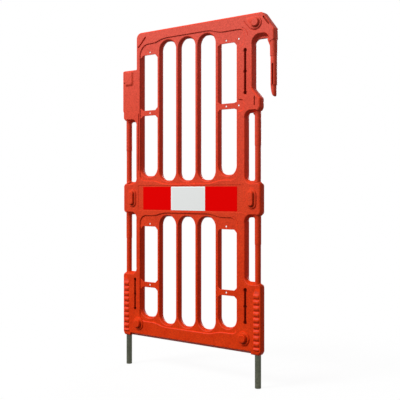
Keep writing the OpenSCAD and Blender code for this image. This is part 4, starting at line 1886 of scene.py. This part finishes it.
@dataclass
class Columns:
    """The four round columns beside the stiles, flared into the blocks at their ends."""

    flare: float = 5.0
    flare_h: float = 20.0
    step_h: float = 5.0
    rings: int = 140
    facets: int = 40

    def build(self) -> None:
        """Grows the columns and hands them over."""
        steps = {"upper": 1295.0, "lower": 765.0}
        for level, step in steps.items():
            for side in ("left", "right"):
                self.column(f"{level}_{side}_column", step)

    def column(self, name: str, step: float) -> None:
        """Grows one column.

        Args:
            name: The CAD node that it stands for.
            step: Height at which it grows thicker.
        """
        node = cad(name)
        r = (node.x1 - node.x0) / 2
        ends = to_row(np.array([[node.x, 0, node.z0 - 2], [node.x, 0, node.z1 + 2]]))
        piece = GrownPiece(
            name + "_tree",
            {
                "Foot": ("NodeSocketVector", tuple(ends[0])),
                "Head": ("NodeSocketVector", tuple(ends[1])),
                "Low Radius": ("NodeSocketFloat", (r - 1.5) / METRE),
                "High Radius": ("NodeSocketFloat", r / METRE),
                "Step Height": ("NodeSocketFloat", step / METRE),
                "Step Length": ("NodeSocketFloat", self.step_h / METRE),
                "Flare": ("NodeSocketFloat", self.flare / METRE),
                "Flare Length": ("NodeSocketFloat", self.flare_h / METRE),
                "Stile Side": ("NodeSocketFloat", -math.copysign(1.0, node.x)),
                "Rings": ("NodeSocketInt", self.rings),
                "Facets": ("NodeSocketInt", self.facets),
                "Material": ("NodeSocketMaterial", PLASTIC.material()),
            },
        )
        tree, size = piece.tree, piece.inputs
        line = wire(
            tree, "GeometryNodeCurvePrimitiveLine", {"Start": size["Foot"], "End": size["Head"]}
        ).outputs[0]
        fine = wire(
            tree, "GeometryNodeResampleCurve", {"Curve": line, "Count": size["Rings"]}
        ).outputs[0]
        place = wire(tree, "GeometryNodeInputPosition").outputs[0]
        height, foot_z, head_z = (
            wire(tree, "ShaderNodeSeparateXYZ", {0: spot}).outputs["Z"]
            for spot in (place, size["Foot"], size["Head"])
        )
        radius = ramp(
            tree,
            height,
            size["Step Height"],
            reckon(tree, "ADD", size["Step Height"], size["Step Length"]),
            size["Low Radius"],
            size["High Radius"],
            interpolation_type="SMOOTHSTEP",
        )
        from_foot = reckon(tree, "SUBTRACT", height, foot_z)
        end = reckon(tree, "MINIMUM", from_foot, reckon(tree, "SUBTRACT", head_z, height))
        near = reckon(tree, "SUBTRACT", 1.0, reckon(tree, "DIVIDE", end, size["Flare Length"]))
        spread = reckon(tree, "POWER", reckon(tree, "MAXIMUM", near, 0.0), 2.0)
        spread = reckon(tree, "MULTIPLY", spread, size["Flare"])
        full = reckon(tree, "ADD", radius, spread)
        shift = reckon(tree, "MULTIPLY", spread, size["Stile Side"])
        aside = wire(tree, "ShaderNodeCombineXYZ", {"X": shift}).outputs[0]
        bent = wire(
            tree, "GeometryNodeSetPosition", {"Geometry": fine, "Offset": aside}
        ).outputs[0]
        round_ = wire(
            tree,
            "GeometryNodeCurvePrimitiveCircle",
            {"Resolution": size["Facets"], "Radius": 1.0},
        ).outputs[0]
        piece.close(
            wire(
                tree,
                "GeometryNodeCurveToMesh",
                {"Curve": bent, "Profile Curve": round_, "Scale": full, "Fill Caps": True},
            ).outputs[0]
        )
        hand_over(piece.grow(name + "_moulded"), name + "_moulded", PLASTIC, [name])


@dataclass
class Studio:
    """The camera at the photograph's viewing angle, the pale floor and the soft light."""

    azimuth: float = 37.5
    eye: tuple[float, float, float] = (2.5728, -3.2976, 1.0537)
    lens: float = 66.15
    shift_y: float = -0.0224
    floor_r: float = 9.0
    floor_bounce: float = 0.08
    floor_shade: float = 0.84
    floor_fade: tuple[float, float] = (0.7, 2.2)
    floor_white: float = 0.93
    ambient: float = 0.42

    def build(self) -> None:
        """Builds the camera, the floor, the world and the lamps."""
        self.camera()
        self.floor()
        self.world()
        self.lamp("key_light", (-4.5, -8.8, 9.9), size=4.0, power=1680.0)
        self.lamp("back_fill", (-2.5, 9.5, 3.5), size=4.0, power=420.0)
        bpy.context.scene.view_settings.view_transform = "Standard"

    def camera(self) -> None:
        """Places the camera."""
        data = bpy.data.cameras.new("camera")
        data.lens = self.lens
        data.sensor_width = 36.0
        data.shift_y = self.shift_y
        eye = bpy.data.objects.new("camera", data)
        eye.location = self.eye
        eye.rotation_euler = (math.pi / 2, 0.0, math.radians(self.azimuth))
        bpy.context.scene.collection.objects.link(eye)
        bpy.context.scene.camera = eye

    def lamp(self, name: str, place: tuple, size: float, power: float) -> None:
        """Adds a soft square lamp that looks at the middle of the panel.

        Args:
            name: The lamp's name.
            place: Where it hangs, in metres.
            size: Its side in metres.
            power: Its power in watts.
        """
        data = bpy.data.lights.new(name, "AREA")
        data.size = size
        data.energy = power
        lamp = bpy.data.objects.new(name, data)
        lamp.location = place
        aim = Vector((0.0, 0.0, 1.0)) - Vector(place)
        lamp.rotation_euler = aim.to_track_quat("-Z", "Y").to_euler()
        bpy.context.scene.collection.objects.link(lamp)

    def shown(self, tree: Any) -> Any:
        """Returns a socket that is 1 for camera, glossy and transmission rays."""
        path = wire(tree, "ShaderNodeLightPath").outputs
        direct = reckon(tree, "MAXIMUM", path["Is Camera Ray"], path["Is Glossy Ray"])
        return reckon(tree, "MAXIMUM", direct, path["Is Transmission Ray"])

    def world(self) -> None:
        """Makes a white world that lights the panel softly from all round."""
        world = bpy.data.worlds.new("white_studio")
        bpy.context.scene.world = world
        world.use_nodes = True
        tree = world.node_tree
        level = ramp(tree, self.shown(tree), to_low=self.ambient)
        tree.links.new(level, tree.nodes["Background"].inputs["Strength"])
        tree.nodes["Background"].inputs["Color"].default_value = (1.0, 1.0, 1.0, 1.0)

    def floor(self) -> None:
        """Makes a pale floor that fades into the white background away from the panel."""
        mesh = bpy.data.meshes.new("floor")
        r = self.floor_r
        mesh.from_pydata([(-r, -r, 0), (r, -r, 0), (r, r, 0), (-r, r, 0)], [], [(0, 1, 2, 3)])
        floor = bpy.data.objects.new("floor", mesh)
        floor.location.z = -0.0005
        bpy.context.scene.collection.objects.link(floor)
        paint = bpy.data.materials.new("pale_floor")
        paint.use_nodes = True
        tree = paint.node_tree
        shader = tree.nodes["Principled BSDF"]
        shade = ramp(tree, self.shown(tree), to_low=self.floor_bounce, to_high=self.floor_shade)
        tree.links.new(shade, shader.inputs["Base Color"])
        shader.inputs["Roughness"].default_value = 0.9
        place = wire(tree, "ShaderNodeTexCoord").outputs["Object"]
        reach = wire(tree, "ShaderNodeVectorMath", {0: place}, operation="LENGTH").outputs["Value"]
        far = ramp(
            tree, reach, *self.floor_fade, self.floor_white, interpolation_type="SMOOTHSTEP"
        )
        share = reckon(tree, "MULTIPLY", far, self.shown(tree))
        white = wire(tree, "ShaderNodeEmission", {"Color": (1.0, 1.0, 1.0, 1.0)}).outputs[0]
        mixed = wire(
            tree, "ShaderNodeMixShader", {0: share, 1: shader.outputs[0], 2: white}
        ).outputs[0]
        tree.links.new(mixed, tree.nodes["Material Output"].inputs["Surface"])
        mesh.materials.append(paint)


def main() -> None:
    """Builds the studio and every sub-assembly in order."""
    logging.basicConfig(level=logging.INFO, format="%(name)s: %(message)s")
    Studio().build()
    panel = MouldedPanel()
    panel.build()
    TiePlates(panel).build()
    Lugs(panel).build()
    HingePin().build()
    Columns().build()
    Legs().build()
    Films().build()


if __name__ == "__main__":
    main()
